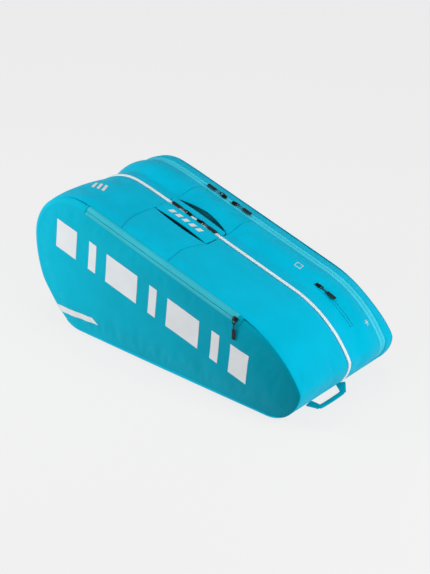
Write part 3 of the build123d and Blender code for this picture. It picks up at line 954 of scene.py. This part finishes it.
def ribbon(name, y_from, y_to, lift, material, thickness=0.0008):
    """A tape that follows the outline at an even lift."""
    rows = round((HEAD_S - TAIL_S) / 0.009) + 1
    s, y = (v.ravel() for v in np.meshgrid(
        np.linspace(TAIL_S, HEAD_S, rows), np.linspace(*sorted((y_from, y_to)), 5), indexing="ij"
    ))
    points = soft_points(s, y, lift + 0.00015 * ripple(s, y, 0.02, 3.0))
    obj = make_object(name, points, grid_faces(rows, 5), np.stack([s, y], 1), (material,))
    return thicken(obj, thickness)


def zip_half(which, letter, side, body, zip_y, gap, lift):
    """The tape of one half of a compartment zip, and the y of its inner edge."""
    tape_node = f"{which}_zip_tape_{letter}"
    inner_y = zip_y + side * gap
    outer_y = low(tape_node).y if side < 0 else high(tape_node).y
    strip = ribbon(tape_node + "_cloth", inner_y, outer_y, lift, tape_cloth_painted_sheen)
    place(strip, body, "zip_tape", tape_node)
    return inner_y


for letter, side, body in (("a", -1, "front_shell"), ("b", 1, "core")):
    inner_y = zip_half("front", letter, side, body, FRONT_ZIP_Y, 0.0002, -0.0026)
    teeth = zip_teeth("white_teeth_" + letter, FRONT_ZIP_Y, side, 0.0004)
    teeth.data.materials.append(white_coil)
    cord = ribbon(
        "white_cord_" + letter, inner_y, inner_y + side * 0.0036, 0.0007, white_coil, 0.0030
    )
    place(teeth, body, "white_coil", "front_zip_coil_" + letter)
    place(cord, body, "white_coil")
for letter, side, body in (("a", -1, "core"), ("b", 1, "rear_shell")):
    zip_half("rear", letter, side, body, REAR_ZIP_Y, 0.0003, -0.0014)
    teeth = zip_teeth("rear_teeth_" + letter, REAR_ZIP_Y, side, -0.0028, inward=True)
    teeth.data.materials.append(grip_black)
    place(teeth, body, "zip_tape")

# Pocket zip on the rounded top edge of the front panel
POCKET_X = (low("pocket_zip_tape_lower").x, high("pocket_zip_tape_lower").x)
TOP_AT = surface_point(rim.where_x(0.0), FRONT_Y, -SEAM_RISE)
DOWN_SLOPE = Vector((math.cos(SLOPE), 0, -math.sin(SLOPE)))
OFF_SLOPE = Vector((math.sin(SLOPE), 0, math.cos(SLOPE)))


def on_edge(x, degrees_up, radius):
    """A point on the rounded edge and its outward direction."""
    a = math.radians(degrees_up)
    top_z = TOP_AT.z - (x - TOP_AT.x) * math.tan(SLOPE)
    axis = Vector((x, FRONT_FACE_Y + EDGE_R, top_z)) - EDGE_R * OFF_SLOPE
    out = Vector((0, -math.cos(a), 0)) + math.sin(a) * OFF_SLOPE
    rise = SEAM_RISE * float(below_seam(EDGE_R * (1 - math.sin(a))))
    return axis + radius * out + rise * OFF_SLOPE, out


def edge_strip(name, x_range, degrees_range, radius, material, round_end=0.0, thickness=0.0007):
    """A strip along the rounded top edge; round_end curves its head end."""
    rows, cols = max(4, round((x_range[1] - x_range[0]) / 0.006)), 7
    points, uv = [], []
    for i in range(rows):
        x = x_range[0] + (x_range[1] - x_range[0]) * i / (rows - 1)
        for j in range(cols):
            share = j / (cols - 1)
            angle = degrees_range[0] + (degrees_range[1] - degrees_range[0]) * share
            shift = round_end * (2 * share - 1) ** 2 if i == 0 else 0.0
            p, _ = on_edge(x + shift, angle, radius)
            points.append(p)
            uv.append((x, math.radians(angle) * radius))
    faces = [tuple(reversed(f)) for f in grid_faces(rows, cols)]
    obj = make_object(name, points, faces, uv, (material,))
    return thicken(obj, thickness)


pocket_start = POCKET_X[0] + 0.015
for half, degrees_range in (("lower", (1, 33.2)), ("upper", (36.8, 88))):
    node_name = "pocket_zip_tape_" + half
    strip = edge_strip(
        node_name + "_cloth", (pocket_start, POCKET_X[1]), degrees_range, EDGE_R + 0.0008,
        pocket_tape, 0.003,
    )
    place(strip, "front_shell", "zip_tape", node_name)
line = edge_strip(
    "pocket_zip_line", (pocket_start + 0.001, POCKET_X[1] - 0.004), (32.8, 37.2),
    EDGE_R + 0.0004, grip_black,
)
place(line, "front_shell", "zip_tape")
for end, x_range in (
    ("head", (POCKET_X[0] + 0.007, POCKET_X[0] + 0.014)),
    ("tail", (POCKET_X[1] - 0.001, POCKET_X[1] + 0.012)),
):
    stop = edge_strip(
        "pocket_stop_" + end, x_range, (-4, 84), EDGE_R + 0.0014, panel_cloth, 0.003, 0.0012
    )
    place(smooth(stop), "front_shell", "shell_fabric")


# ---------------------------------------------------------------- grab handle
def handle_pad(name, edges, body, node_name, crown_height):
    """A padded band of the handle: rounded section, thinner at its sewn ends."""
    stations = []
    for share in np.linspace(0, 1, 34):
        s = HANDLE_S[0] + 0.001 + (HANDLE_S[1] - HANDLE_S[0] - 0.002) * share
        near, far = (float(e(np.array(share))) if callable(e) else e for e in edges)
        puff = 0.30 + 0.70 * float(hump(share)) ** 0.35
        thickness = (0.0022 + crown_height * puff) / 2
        centre = surface_point(s, (near + far) / 2, -0.0022 + thickness + 0.0012 * puff)
        stations.append((centre, Vector((0, (far - near) / 2, 0)), outward(s) * thickness))
    pad = loft(name, stations, (shell_cloth,), 0.62, 20)
    place(smooth(pad), body, "shell_fabric", node_name)
    covers[name] = (pad, body, node_name)


SEAM_GAP = 0.0003
handle_pad(
    "handle_pad_front", (front_slit_near, FRONT_EDGE_Y - SEAM_GAP), "front_shell",
    "handle_band_front", 0.0042,
)
handle_pad(
    "handle_pad_rear", (MID_EDGE_Y[0] + SEAM_GAP, rear_slit_near), "core", "handle_band_rear",
    0.0036,
)
band_tree = surface_tree(*[n for n in covers if "panel" not in n])


TROUGH_LEVELS = [    # (size of the opening, share of the depth)
    (1.0, 0.0), (0.99, 0.18), (0.97, 0.4), (0.94, 0.62), (0.88, 0.80), (0.76, 0.92),
    (0.55, 0.985), (0.3, 1.0), (0.05, 1.0),
]
TROUGH_TOP, TROUGH_DEPTH = -0.0045, 0.036


def trough(name, node_name, body, count=44):
    """The soft lined trough under one half of the handle."""
    s0, s1 = HANDLE_S[0] + 0.004, HANDLE_S[1] - 0.004
    y0, y1 = low(node_name).y + 0.001, high(node_name).y - 0.001
    angle = np.arange(count) * 2 * math.pi / count
    ring = [np.sign(v) * np.abs(v) ** 0.32 for v in (np.cos(angle), np.sin(angle))]
    points, uv = [], []
    for r, d in TROUGH_LEVELS:
        for a, b in zip(*ring):
            s = (s0 + s1) / 2 + (s1 - s0) / 2 * r * a
            y = (y0 + y1) / 2 + (y1 - y0) / 2 * r * b
            fold = 0.0012 * math.sin(900 * s + 3 * b) * (d > 0.1)
            points.append(surface_point(s, y, TROUGH_TOP - TROUGH_DEPTH * d + fold))
            uv.append((s, y + d * 0.03))
    faces = grid_faces(len(TROUGH_LEVELS), count, wrap=True)
    faces.append(tuple(range((len(TROUGH_LEVELS) - 1) * count, len(TROUGH_LEVELS) * count)))
    # The brightened trough lining is painted light, so that the deep slit does not go black.
    obj = thicken(make_object(name, points, faces, uv, (trough_lining_painted_light,)), 0.0009, offset=0.0)
    place(smooth(obj), body, "lining", node_name)


trough("handle_trough_front", "handle_lining_front", "front_shell")
trough("handle_trough_rear", "handle_lining_rear", "core")


# ---------------------------------------------------------------- linings, foam and the divider
INNER_RINGS = [0.0, 0.0008, 0.0022, 0.0045, 0.0075, 0.011, 0.016]
QUILT_SIZE, QUILT_HEIGHT = 0.060, 0.0016


def quilt(flat, depth):
    """Raised diamonds of a quilted lining, flat beside the rim."""
    a = np.abs(np.sin(np.pi * (flat[:, 0] + flat[:, 1]) / QUILT_SIZE))
    b = np.abs(np.sin(np.pi * (flat[:, 0] - flat[:, 1]) / QUILT_SIZE))
    return QUILT_HEIGHT * (a * b) ** 0.4 * ease((depth - 0.012) / 0.03)


def inner_shape(inset, y):
    """A flat shape inside the settled bag at width y."""
    flat, faces, count, far_in = flat_shape(inset, 0.011, INNER_RINGS)
    return soft_flat(flat, far_in - inset, y), faces, count, far_in


def inner_dish(shape, inset, seam_y, face_y, edge_radius):
    """y of a layer that follows a panel from inside, softer towards the tail."""
    points, _, _, far_in = shape
    outer = dish(far_in, inset, seam_y, face_y, edge_radius)
    soft = 0.55 * ease((points[:, 0] - 0.18) / 0.10) * (1 - ease(far_in / 0.09))
    return seam_y + (outer - seam_y) * (1 - soft)


for node_name, body, seam_y, face_y, edge_radius, inset in (
    ("front_foam", "front_shell", FRONT_Y, FRONT_FACE_Y, EDGE_R, 0.0040),
    ("rear_foam", "rear_shell", REAR_Y, REAR_FACE_Y, REAR_EDGE_R, 0.0034),
):
    shape = inner_shape(inset, seam_y)
    points, _, _, far_in = shape
    way = 1 if face_y > seam_y else -1
    outer = inner_dish(shape, inset, seam_y, face_y - way * 0.0048, edge_radius - 0.001)
    outer = np.where(far_in < inset + 1e-5, seam_y + way * 0.0008, outer)
    inner = seam_y + way * (0.0004 - quilt(points, far_in) + QUILT_HEIGHT)
    faces_y = (outer, inner) if way < 0 else (inner, outer)
    pad = closed_slab(node_name + "_pad", shape, *faces_y, (lining_cloth,))
    place(pad, body, "foam", node_name)

BACKING_INSET = 0.0032
shape = inner_shape(BACKING_INSET, FRONT_Y)
outer = inner_dish(shape, BACKING_INSET, FRONT_Y, FRONT_FACE_Y + BACKING_INSET, 0.0125)
outer += 0.0003 * ripple(shape[0][:, 0], shape[0][:, 1], 0.03, 1.5)
backing = closed_slab("pocket_back_cloth", shape, outer, outer + 0.0006, (lining_cloth,))
place(backing, "front_shell", "lining", "pocket_backing")

for node_name, body, inset, material in (
    ("divider", "core", 0.0065, lining_cloth),
    ("thermal_liner_divider", "core", 0.0070, foil),
    ("thermal_liner_rear", "rear_shell", 0.0035, foil),
):
    y_range = (low(node_name).y, high(node_name).y)
    shape = inner_shape(inset, sum(y_range) / 2)
    points, _, _, far_in = shape
    uneven = 0.0004 * ripple(points[:, 0], points[:, 1], 0.022, inset * 900)
    uneven *= ease((far_in - inset) / 0.02)
    wall = closed_slab(
        node_name + "_cloth", shape, y_range[0] + uneven, y_range[1] + uneven, (material,)
    )
    place(wall, body, "thermal_lining" if material is foil else "lining", node_name)

# Flat pouch behind the accessory zip
pouch_x = (low("accessory_pocket_bag").x, high("accessory_pocket_bag").x)
pouch_s = (rim.where_x(pouch_x[1]), rim.where_x(pouch_x[0]))
pouch_y = (low("accessory_pocket_bag").y, high("accessory_pocket_bag").y)
stations = []
for share in np.linspace(0, 1, 24):
    s = pouch_s[0] + 0.002 + (pouch_s[1] - pouch_s[0] - 0.004) * share
    centre = surface_point(s, sum(pouch_y) / 2, -0.0064)
    out = outward(s)
    thick = 0.0009 + 0.0009 * float(hump(share)) ** 0.5
    stations.append((centre, Vector((0, (pouch_y[1] - pouch_y[0]) / 2, 0)), out * thick))
pouch = loft("accessory_pouch", stations, (lining_cloth,), 0.7, 24)
place(pouch, "core", "lining", "accessory_pocket_bag")

# ---------------------------------------------------------------- concealed accessory zip
tape_x = (low("accessory_zip_tape").x, high("accessory_zip_tape").x)
tape_s = (rim.where_x(tape_x[1]), rim.where_x(tape_x[0]))


def laid_strip(name, s_range, y_range, thickness):
    """A strip of cloth that lies on the finished band."""
    rows, cols = max(6, round((s_range[1] - s_range[0]) / 0.005)), 5
    uv = [
        (s_range[0] + (s_range[1] - s_range[0]) * i / (rows - 1),
         y_range[0] + (y_range[1] - y_range[0]) * j / (cols - 1))
        for i in range(rows) for j in range(cols)
    ]
    points = [on_band(s, y, thickness)[0] for s, y in uv]
    strip = make_object(name, points, grid_faces(rows, cols), uv, (shell_cloth,))
    return thicken(strip, thickness)


for name, y_range in (
    ("accessory_tape_front", (ACCESSORY_Y - 0.006, ACCESSORY_Y - 0.0005)),
    ("accessory_tape_rear", (ACCESSORY_Y + 0.0005, ACCESSORY_Y + 0.006)),
):
    strip = laid_strip(name, tape_s, y_range, 0.0012)
    place(strip, "core", "zip_tape", "accessory_zip_tape")

# ---------------------------------------------------------------- welt along the bottom front
WELT_STATIONS, PIPING_POINTS, PIPING_R = 90, 420, 0.0014
welt = []
for k, s in enumerate(np.linspace(-0.050, rim.runs[1][0] + 0.045, WELT_STATIONS)):
    share = float(hump(k / (WELT_STATIONS - 1))) ** 0.5
    half = 0.0012 + 0.0028 * share
    out = outward(s)
    centre = surface_point(s, FRONT_Y - 0.0030 - 0.0030 * share, -half - 0.0004)
    welt.append((centre, out * half, Vector((0, -0.0030, 0))))
welt = loft("front_welt", welt, (shell_cloth,), 0.8, 14)
place(welt, "front_shell", "shell_fabric")

# Thin piping that closes the seams between the panels and the gussets
for name, seam_y, body in (
    ("front_piping", FRONT_Y, "front_shell"), ("rear_piping", REAR_Y, "rear_shell"),
):
    around = np.linspace(0, rim.length, PIPING_POINTS)[:-1]
    path = [surface_point(s, seam_y, -0.0012) for s in around]
    piping = tube(name, path, PIPING_R, (shell_cloth,), closed=True, count=8)
    place(piping, body, "shell_fabric")

# ---------------------------------------------------------------- webbing: end loop and its tabs
LOOP_X = low("end_loop").x
LOOP_Y, LOOP_LEAN = (-0.068, 0.050), (0.008, -0.026)
GRIP_REACH = 0.028          # middle of the gathered grip
GRIP_HALF = 0.0056
LEG_HALF, LEG_THICK = 0.0122, 0.0010
DROOP = math.radians(6.0)


def loop_point(reach, y, lift=0.0):
    """A place on the end loop's drooping plane."""
    return Vector((
        LOOP_X + reach * math.cos(DROOP) + lift * math.sin(DROOP), y,
        0.0053 - reach * math.sin(DROOP) + lift * math.cos(DROOP),
    ))


def loop_leg(y_start, lean):
    """One webbing leg, from the bag to the gathered grip."""
    stations = []
    for share in np.linspace(0, 1, 14):
        reach = 0.0005 + (GRIP_REACH - 0.0005) * share
        half = LEG_HALF - 0.0040 * ease(share)
        twist = 10.0 * float(ease(share)) * lean
        side = Vector((-lean * 22.0, math.cos(twist), math.sin(twist))).normalized() * half
        centre = loop_point(reach, y_start + lean * share, 0.0004 * math.sin(math.pi * share))
        stations.append((centre, side, Vector((0, 0, LEG_THICK))))
    return stations


legs = [
    loft("loop_leg", loop_leg(y, lean), (webbing_cloth,), 0.35, 18)
    for y, lean in zip(LOOP_Y, LOOP_LEAN)
]
grip = []
grip_from, grip_to = LOOP_Y[0] + LOOP_LEAN[0] - 0.004, LOOP_Y[1] + LOOP_LEAN[1] + 0.004
for share in np.linspace(0, 1, 26):
    reach = GRIP_REACH - 0.0035 + 0.0040 * float(hump(share)) ** 0.25
    centre = loop_point(reach, grip_from + (grip_to - grip_from) * share, 0.0002)
    side = Vector((GRIP_HALF * math.cos(DROOP), 0, -GRIP_HALF * math.sin(DROOP)))
    grip.append((centre, side, Vector((0, 0, 0.0021))))
legs.append(loft("loop_grip", grip, (webbing_cloth,), 0.55, 18))
end_loop = smooth(join("end_loop_webbing", legs))
place(end_loop, "end_loop", "webbing", "end_loop")
tab_parts = []
tab_x = (low("end_loop_tabs").x + 0.0005, high("end_loop_tabs").x + 0.0005)
corner_s, _, corner_x, _, _, corner_r, _ = rim.runs[1]
for y in LOOP_Y:
    stations = []
    for x in np.linspace(*tab_x, 8):
        s = corner_s + corner_r * math.asin((x - corner_x) / corner_r)
        centre = surface_point(s, y, LEG_THICK)
        stations.append((centre, Vector((0, LEG_HALF, 0)), outward(s) * LEG_THICK))
    tab_parts.append(loft("tab", stations, (webbing_cloth,), 0.35, 16))
tabs = join("end_loop_tab_webbing", tab_parts)
place(tabs, "core", "webbing", "end_loop_tabs")

# ---------------------------------------------------------------- shoulder straps
STRAPS = {
    "upper": (Vector((0.234, 0, 0.180)), Vector((-0.276, 0, 0.272))),
    "lower": (Vector((0.254, 0, 0.100)), Vector((-0.266, 0, 0.092))),
}
STRAP_SAG, WEB_HALF, PAD_HALF = 0.030, 0.0125, 0.027
STRAP_OFFSET = 0.0008 + WEB_HALF    # from the sewn ends' line to the middle of the webbing
PAD_Y = low("strap_upper_pad").y + 0.0040
WEB_Y = (low("strap_upper_webbing").y + high("strap_upper_webbing").y) / 2
PATCH_Y = (low("strap_anchor_patches").y + high("strap_anchor_patches").y) / 2


def strap_line(ends, t, y, sags=True):
    """Middle of a strap at distance t from its tail end, and the direction across it."""
    tail_end, head_end = ends
    span = (tail_end - head_end).length
    along = (head_end - tail_end).normalized()
    across = Vector((along.z, 0, -along.x))
    if across.z < 0:
        across = -across
    sag = STRAP_SAG * (1 - (2 * t / span - 1) ** 2) if sags else 0.0
    p = tail_end + along * t - across * (STRAP_OFFSET + sag)
    return Vector((p.x, y, p.z)), across


patches, patch_spots = [], []
for name, ends in STRAPS.items():
    body = "strap_" + name
    span = (ends[0] - ends[1]).length
    start, end = span * 0.03, span * 0.66

    def pad_station(t):
        """Centre, direction across, half width and room to the nearer end of the pad."""
        room = min(t - start, end - t)
        half = WEB_HALF + (PAD_HALF - WEB_HALF) * math.sin(math.pi / 2 * min(room / 0.08, 1))
        return *strap_line(ends, t, PAD_Y), half, room

    stations = []
    for t in np.linspace(start + 0.0006, end - 0.0006, 70):
        centre, across, half, room = pad_station(t)
        thick = 0.0012 + 0.0028 * min(1.0, (room / 0.02) ** 0.5) + 0.0002 * math.sin(t * 210)
        stations.append((centre, across * (half - 0.0006), Vector((0, thick, 0))))
    pad = smooth(loft(body + "_padding", stations, (mesh_cloth,), 0.55, 28))
    place(pad, body, "strap_pad", body + "_pad")
    for side_name, way in (("top", 1), ("low", -1)):
        path = []
        for t in np.linspace(start + 0.002, end - 0.002, 60):
            centre, across, half, _ = pad_station(t)
            path.append(centre + across * way * (half - 0.0012))
        edge = tube(body + "_binding_" + side_name, path, 0.0018, (webbing_cloth,), count=8)
        place(edge, body, "webbing")
    stations = []
    for t in np.linspace(end + 0.0243, span - 0.0012, 40):
        centre, across = strap_line(ends, t, WEB_Y)
        stations.append((centre, across * (WEB_HALF - 0.0003), Vector((0, 0.0008, 0))))
    web = loft(body + "_web", stations, (webbing_cloth,), 0.3, 16)
    place(web, body, "webbing", body + "_webbing")
for ends in STRAPS.values():
    span = (ends[0] - ends[1]).length
    for t0, t1 in ((-0.027, -0.001), (span + 0.001, span + 0.027)):
        stations = []
        for t in np.linspace(t0 + 0.0004, t1 - 0.0004, 10):
            centre, across = strap_line(ends, t, PATCH_Y, sags=False)
            stations.append((centre, across * (WEB_HALF + 0.0026), Vector((0, 0.0010, 0))))
        patches.append(loft("patch", stations, (webbing_cloth,), 0.3, 16))
        patch_spots.append((stations[1][0], stations[-2][0], stations[0][1] * 0.8))
anchor = join("strap_anchor_webbing", patches)
place(anchor, "rear_shell", "webbing", "strap_anchor_patches")


# ---------------------------------------------------------------- pulls
PIVOT_LIFT = 0.00405        # from the fabric to the middle of a pull
GRIP_START, GRIP_LENGTH = 0.0261, 0.0258
GRIP_RIBS, RIBS_FROM, RIBS_TO = 6, 0.17, 0.83


def slope_frame(x, y, to_head):
    """Local frame on the sloping top: the fabric, the pull's direction, and out of the fabric."""
    top_x, top_z, _, _ = (float(v[0]) for v in rim.at(rim.where_x(x)))
    return Vector((top_x, y, top_z)), (-DOWN_SLOPE if to_head else DOWN_SLOPE), OFF_SLOPE


def accessory_frame():
    """The accessory zip's pull lies on the curved tail, pointing down it."""
    top, out = surface_point(ACCESSORY_PULL_S, ACCESSORY_Y), outward(ACCESSORY_PULL_S)
    return top, Vector((out.z, 0, -out.x)), out


def pocket_frame():
    """The pocket's pull hangs straight down, its own Z out of the front."""
    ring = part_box("pocket_zip_ring")
    pivot = Vector(((ring[0].x + ring[1].x) / 2, (ring[0].y + ring[1].y) / 2, ring[1].z - 0.0006))
    return pivot + Vector((0, PIVOT_LIFT, 0)), Vector((0, 0, -1)), Vector((0, -1, 0))


def pull_grip(name, origin, along, out):
    """A ribbed rubber grip on a cord loop, in the same place as the CAD tab."""
    across = out.cross(along)
    middle = origin + out * PIVOT_LIFT
    stations = []
    for share in np.linspace(0, 1, 43):
        end = min(1.0, (min(share, 1 - share) / 0.05 + 0.02) ** 0.5)
        turns = GRIP_RIBS * (share - RIBS_FROM) / (RIBS_TO - RIBS_FROM)
        ribbed = RIBS_FROM < share < RIBS_TO
        rib = 0.5 - 0.5 * math.cos(2 * math.pi * turns) if ribbed else 1.0
        half = end * (0.00405 + 0.00040 * rib)
        thick = end * (0.00125 + 0.00045 * rib)
        place_at = middle + along * (GRIP_START + GRIP_LENGTH * share)
        stations.append((place_at, across * half, out * thick))
    grip_mesh = loft("grip", stations, (grip_black,), 0.5, 20)
    path = []
    for k in range(36):
        a = 2 * math.pi * k / 36
        x = 0.0181 + 0.0059 * (1 if math.cos(a) > 0 else -1) + 0.0018 * math.cos(a)
        path.append(middle + along * x + out * 0.0018 * math.sin(a))
    loop = tube("loop", path, 0.0008, (grip_black,), closed=True, count=8)
    grip_obj = join(name + "_grip", [grip_mesh, loop])
    place(grip_obj, name + "_pull", "pull_rubber", name + "_tab")


for which, zip_y in (("front", FRONT_ZIP_Y), ("rear", REAR_ZIP_Y)):
    pull_grip(which + "_zip_head", *slope_frame(-0.081, zip_y, True))
    pull_grip(which + "_zip_tail", *slope_frame(-0.051, zip_y, False))
pull_grip("accessory_zip", *accessory_frame())
pull_grip("pocket_zip", *pocket_frame())

# ---------------------------------------------------------------- frame nodes that stay
for name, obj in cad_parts.items():
    if obj.hide_render:
        continue
    finish = slider_black if name.endswith(("_slider", "_ring")) else buckle_black
    if name == "base_board":
        finish = board_grey
    obj.data.materials.clear()
    obj.data.materials.append(finish)
    bevel = obj.modifiers.new("softened edges", "BEVEL")
    bevel.width, bevel.segments, bevel.limit_method = 0.0003, 2, "ANGLE"
    bevel.angle_limit = math.radians(40)


# ---------------------------------------------------------------- prints
def printed(name, body, corners, where, cells):
    """A printed four-sided mark. corners are surface coordinates in order round it."""
    a, b, c, d = (np.array(p) for p in corners)
    points = []
    for i in range(cells[0] + 1):
        for j in range(cells[1] + 1):
            u, v = i / cells[0], j / cells[1]
            spot = (1 - v) * ((1 - u) * a + u * b) + v * ((1 - u) * d + u * c)
            points.append(where(spot[0], spot[1], 0.0005)[0])
    faces = [tuple(reversed(f)) for f in grid_faces(cells[0] + 1, cells[1] + 1)]
    place(make_object(name, points, faces, None, (white_print,)), body, "white_coil")


BAR_TILT = math.radians(14.2)   # the row falls to the tail
BAR_HEIGHT, BAR_LEAN = 0.074, 0.17
BARS = [(-0.313, 0.060), (-0.216, 0.022), (-0.163, 0.092), (-0.036, 0.022), (0.017, 0.092),
        (0.144, 0.022), (0.197, 0.050)]     # x of the lower left corner, width
for k, (bar_x, width) in enumerate(BARS):
    bar_z = 0.2105 - math.tan(BAR_TILT) * (bar_x - BARS[0][0])
    fall = math.tan(BAR_TILT) * width
    up_x, up_z = (math.sin(BAR_TILT) - BAR_LEAN) * BAR_HEIGHT, math.cos(BAR_TILT) * BAR_HEIGHT
    corners = [
        (bar_x, bar_z), (bar_x + width, bar_z - fall),
        (bar_x + width + up_x, bar_z - fall + up_z), (bar_x + up_x, bar_z + up_z),
    ]
    cells = (max(6, round(width / 0.005)), max(8, round(BAR_HEIGHT / 0.005)))
    printed(f"front_bar_{k}", "front_shell", corners, on_front, cells)
printed(
    "front_flash", "front_shell",
    [(-0.303, 0.040), (-0.186, 0.049), (-0.205, 0.062), (-0.315, 0.057)], on_front, (24, 5),
)


def band_mark(name, body, s_mid, y_mid, size, lean=0.0, turn=0.0):
    """A small bar on the band. size is (along s, along y)."""
    corners = []
    for a, b in ((-1, -1), (1, -1), (1, 1), (-1, 1)):
        ds, dy = a * size[0] / 2 + b * lean, b * size[1] / 2
        corners.append((
            s_mid + ds * math.cos(turn) - dy * math.sin(turn),
            y_mid + ds * math.sin(turn) + dy * math.cos(turn),
        ))
    printed(name, body, corners, on_band, [max(2, round(v / 0.003)) for v in size])


mark_s = rim.where_x(-0.268)
for k in range(3):
    s = mark_s + (k - 1) * 0.015
    band_mark(f"head_mark_{k}", "front_shell", s, -0.084, (0.008, 0.028), 0.006)
for k in range(5):
    s = rim.where_x(-0.108 + k * 0.020)
    band_mark(f"handle_mark_{k}", "front_shell", s, -0.018, (0.012, 0.0125), -0.003)
icon_s = rim.where_x(0.181)
for k, (ds, dy, size) in enumerate((
    (-0.008, 0, (0.0014, 0.012)), (0.008, 0, (0.0014, 0.012)),
    (0, -0.006, (0.0174, 0.0014)), (0, 0.006, (0.0174, 0.0014)),
)):
    band_mark(f"frame_mark_{k}", "core", icon_s + ds, 0.079 + dy, size)
tail_arc = np.linspace(rim.runs[3][0], rim.runs[3][0] + rim.runs[3][1], 400)
star_s = float(tail_arc[np.argmin(np.abs(rim.at(tail_arc)[0] - 0.352))])
for k in range(3):
    turn = math.radians(60 * k + 90)
    band_mark(f"star_mark_{k}", "core", star_s, 0.108, (0.016, 0.0014), 0.0, turn)

# ---------------------------------------------------------------- stitching
def band_stitches(name, body, s_values, y_values, where=on_band):
    s_values, y_values = np.broadcast_arrays(
        np.asarray(s_values, float), np.asarray(y_values, float)
    )
    stitches(name, body, list(zip(s_values, y_values)), where)


even_s = np.linspace(TAIL_S + 0.004, HEAD_S - 0.004, 300)
for part, keep in (("tail", even_s < HANDLE_S[0] - 0.006), ("head", even_s > HANDLE_S[1] + 0.004)):
    band_stitches("zip_stitch_front_" + part, "front_shell", even_s[keep], FRONT_EDGE_Y - 0.0030)
    band_stitches("zip_stitch_mid_" + part, "core", even_s[keep], MID_EDGE_Y[0] + 0.0030)
band_stitches("rear_zip_stitch_mid", "core", even_s, MID_EDGE_Y[1] - 0.0028)
band_stitches("rear_zip_stitch_rear", "rear_shell", even_s, REAR_EDGE_Y + 0.0028)
for end, seam, side, seam_y in (
    ("head", FRONT_HEAD_SEAM, 0.003, np.linspace(FRONT_Y + 0.004, FRONT_EDGE_Y - 0.004, 40)),
    ("tail", FRONT_TAIL_SEAM, -0.003, np.linspace(FRONT_Y + 0.004, FRONT_SLIT_Y[0] - 0.002, 30)),
):
    band_stitches("patch_stitch_" + end, "front_shell", seam(seam_y) + side, seam_y)
pocket_xs = np.linspace(POCKET_X[0] + 0.018, POCKET_X[1] - 0.004, 60)
for name, angle in (("lower", 7.0), ("upper", 73.0)):
    stitches(
        "pocket_stitch_" + name, "front_shell", [(x, angle) for x in pocket_xs],
        lambda x, a: on_edge(x, a, EDGE_R + 0.0010),
    )
accessory_s = np.linspace(tape_s[0] + 0.002, tape_s[1] - 0.002, 30)
for name, dy in (("front", -0.0045), ("rear", 0.0045)):
    band_stitches(
        "accessory_stitch_" + name, "core", accessory_s, ACCESSORY_Y + dy,
        lambda s, y: on_band(s, y, 0.0016),
    )
for k, (a, b, across) in enumerate(patch_spots):
    c = [a + across, b + across, b - across, a - across]
    box_and_cross = zip(c + [c[0], c[1]], c[1:] + [c[0], c[2], c[3]])
    for n, (p, q) in enumerate(box_and_cross):
        stitches(
            f"anchor_stitch_{k}_{n}", "rear_shell", [p.lerp(q, t) for t in np.linspace(0, 1, 6)],
            lambda x, y, z: (Vector((x, PATCH_Y + 0.0012, z)), Vector((0, 1, 0))),
            "webbing", 0.003,
        )
for side, y, lean in (("a", LOOP_Y[0], LOOP_LEAN[0]), ("b", LOOP_Y[1], LOOP_LEAN[1])):
    for place_name, reach, half in (("root", 0.004, 0.010), ("grip", 0.022, 0.007)):
        middle = y + lean * reach / GRIP_REACH
        across = [(reach, middle + half * t) for t in np.linspace(-1, 1, 8)]
        stitches(
            f"loop_stitch_{side}_{place_name}", "end_loop", across,
            lambda r, v: (loop_point(r, v, 0.0018), Vector((0, 0, 1))), "webbing", 0.003,
        )

# ---------------------------------------------------------------- camera, floor and light
camera = bpy.data.objects.new("camera", bpy.data.cameras.new("camera"))
scene.collection.objects.link(camera)
scene.camera = camera


def aim_camera(azimuth, elevation, roll, place_at, lens_mm):
    """Points the camera at a viewing angle, given in degrees."""
    azimuth, elevation, roll = (math.radians(v) for v in (azimuth, elevation, roll))
    back = Vector((
        math.sin(azimuth) * math.cos(elevation),
        -math.cos(azimuth) * math.cos(elevation),
        math.sin(elevation),
    ))
    right = Vector((math.cos(azimuth), math.sin(azimuth), 0))
    up = back.cross(right)
    turned_right = right * math.cos(roll) + up * math.sin(roll)
    turned_up = up * math.cos(roll) - right * math.sin(roll)
    rows = zip(turned_right, turned_up, back, place_at)
    camera.matrix_world = Matrix((*rows, (0, 0, 0, 1)))
    camera.data.lens, camera.data.sensor_width, camera.data.clip_end = lens_mm, 36.0, 50.0


aim_camera(38.856, 28.596, 1.683, (2.5684, -3.1776, 2.3721), 128.5)


def floor_and_light():
    mesh = bpy.data.meshes.new("floor")
    half = 12.0
    corners = [(-half, -half, 0), (half, -half, 0), (half, half, 0), (-half, half, 0)]
    mesh.from_pydata(corners, [], [(0, 1, 2, 3)])
    floor = bpy.data.objects.new("floor", mesh)
    scene.collection.objects.link(floor)
    paper = finish_material(
        "floor_paper", (0.08, 0.08, 0.08), 0.9, (2, 2, 0.99, 1.01), [],
        Specular_IOR_Level=0.0, Emission_Color=(1, 1, 1, 1), Emission_Strength=0.79,
    )
    floor.data.materials.append(paper)
    scene.world = bpy.data.worlds.new("studio")
    scene.world.use_nodes = True
    sky = scene.world.node_tree.nodes["Background"].inputs
    sky["Color"].default_value, sky["Strength"].default_value = (1, 1, 1, 1), 0.40
    for name, place_at, aim_at, size, power in (
        ("key_head", (-1.20, -1.30, 0.80), (-0.20, -0.12, 0.18), 0.9, 22.0),
        ("key_tail", (1.9, 0.1, 1.1), (0.35, -0.05, 0.12), 1.0, 27.0),
        ("top", (0.0, -0.3, 2.4), (0, -0.05, 0.2), 1.6, 13.0),
    ):
        light = bpy.data.lights.new(name, "AREA")
        light.size, light.energy = size, power
        lamp = bpy.data.objects.new(name, light)
        scene.collection.objects.link(lamp)
        lamp.location = place_at
        way = Vector(aim_at) - Vector(place_at)
        lamp.rotation_euler = way.to_track_quat("-Z", "Y").to_euler()


floor_and_light()
scene.view_settings.view_transform = "Standard"
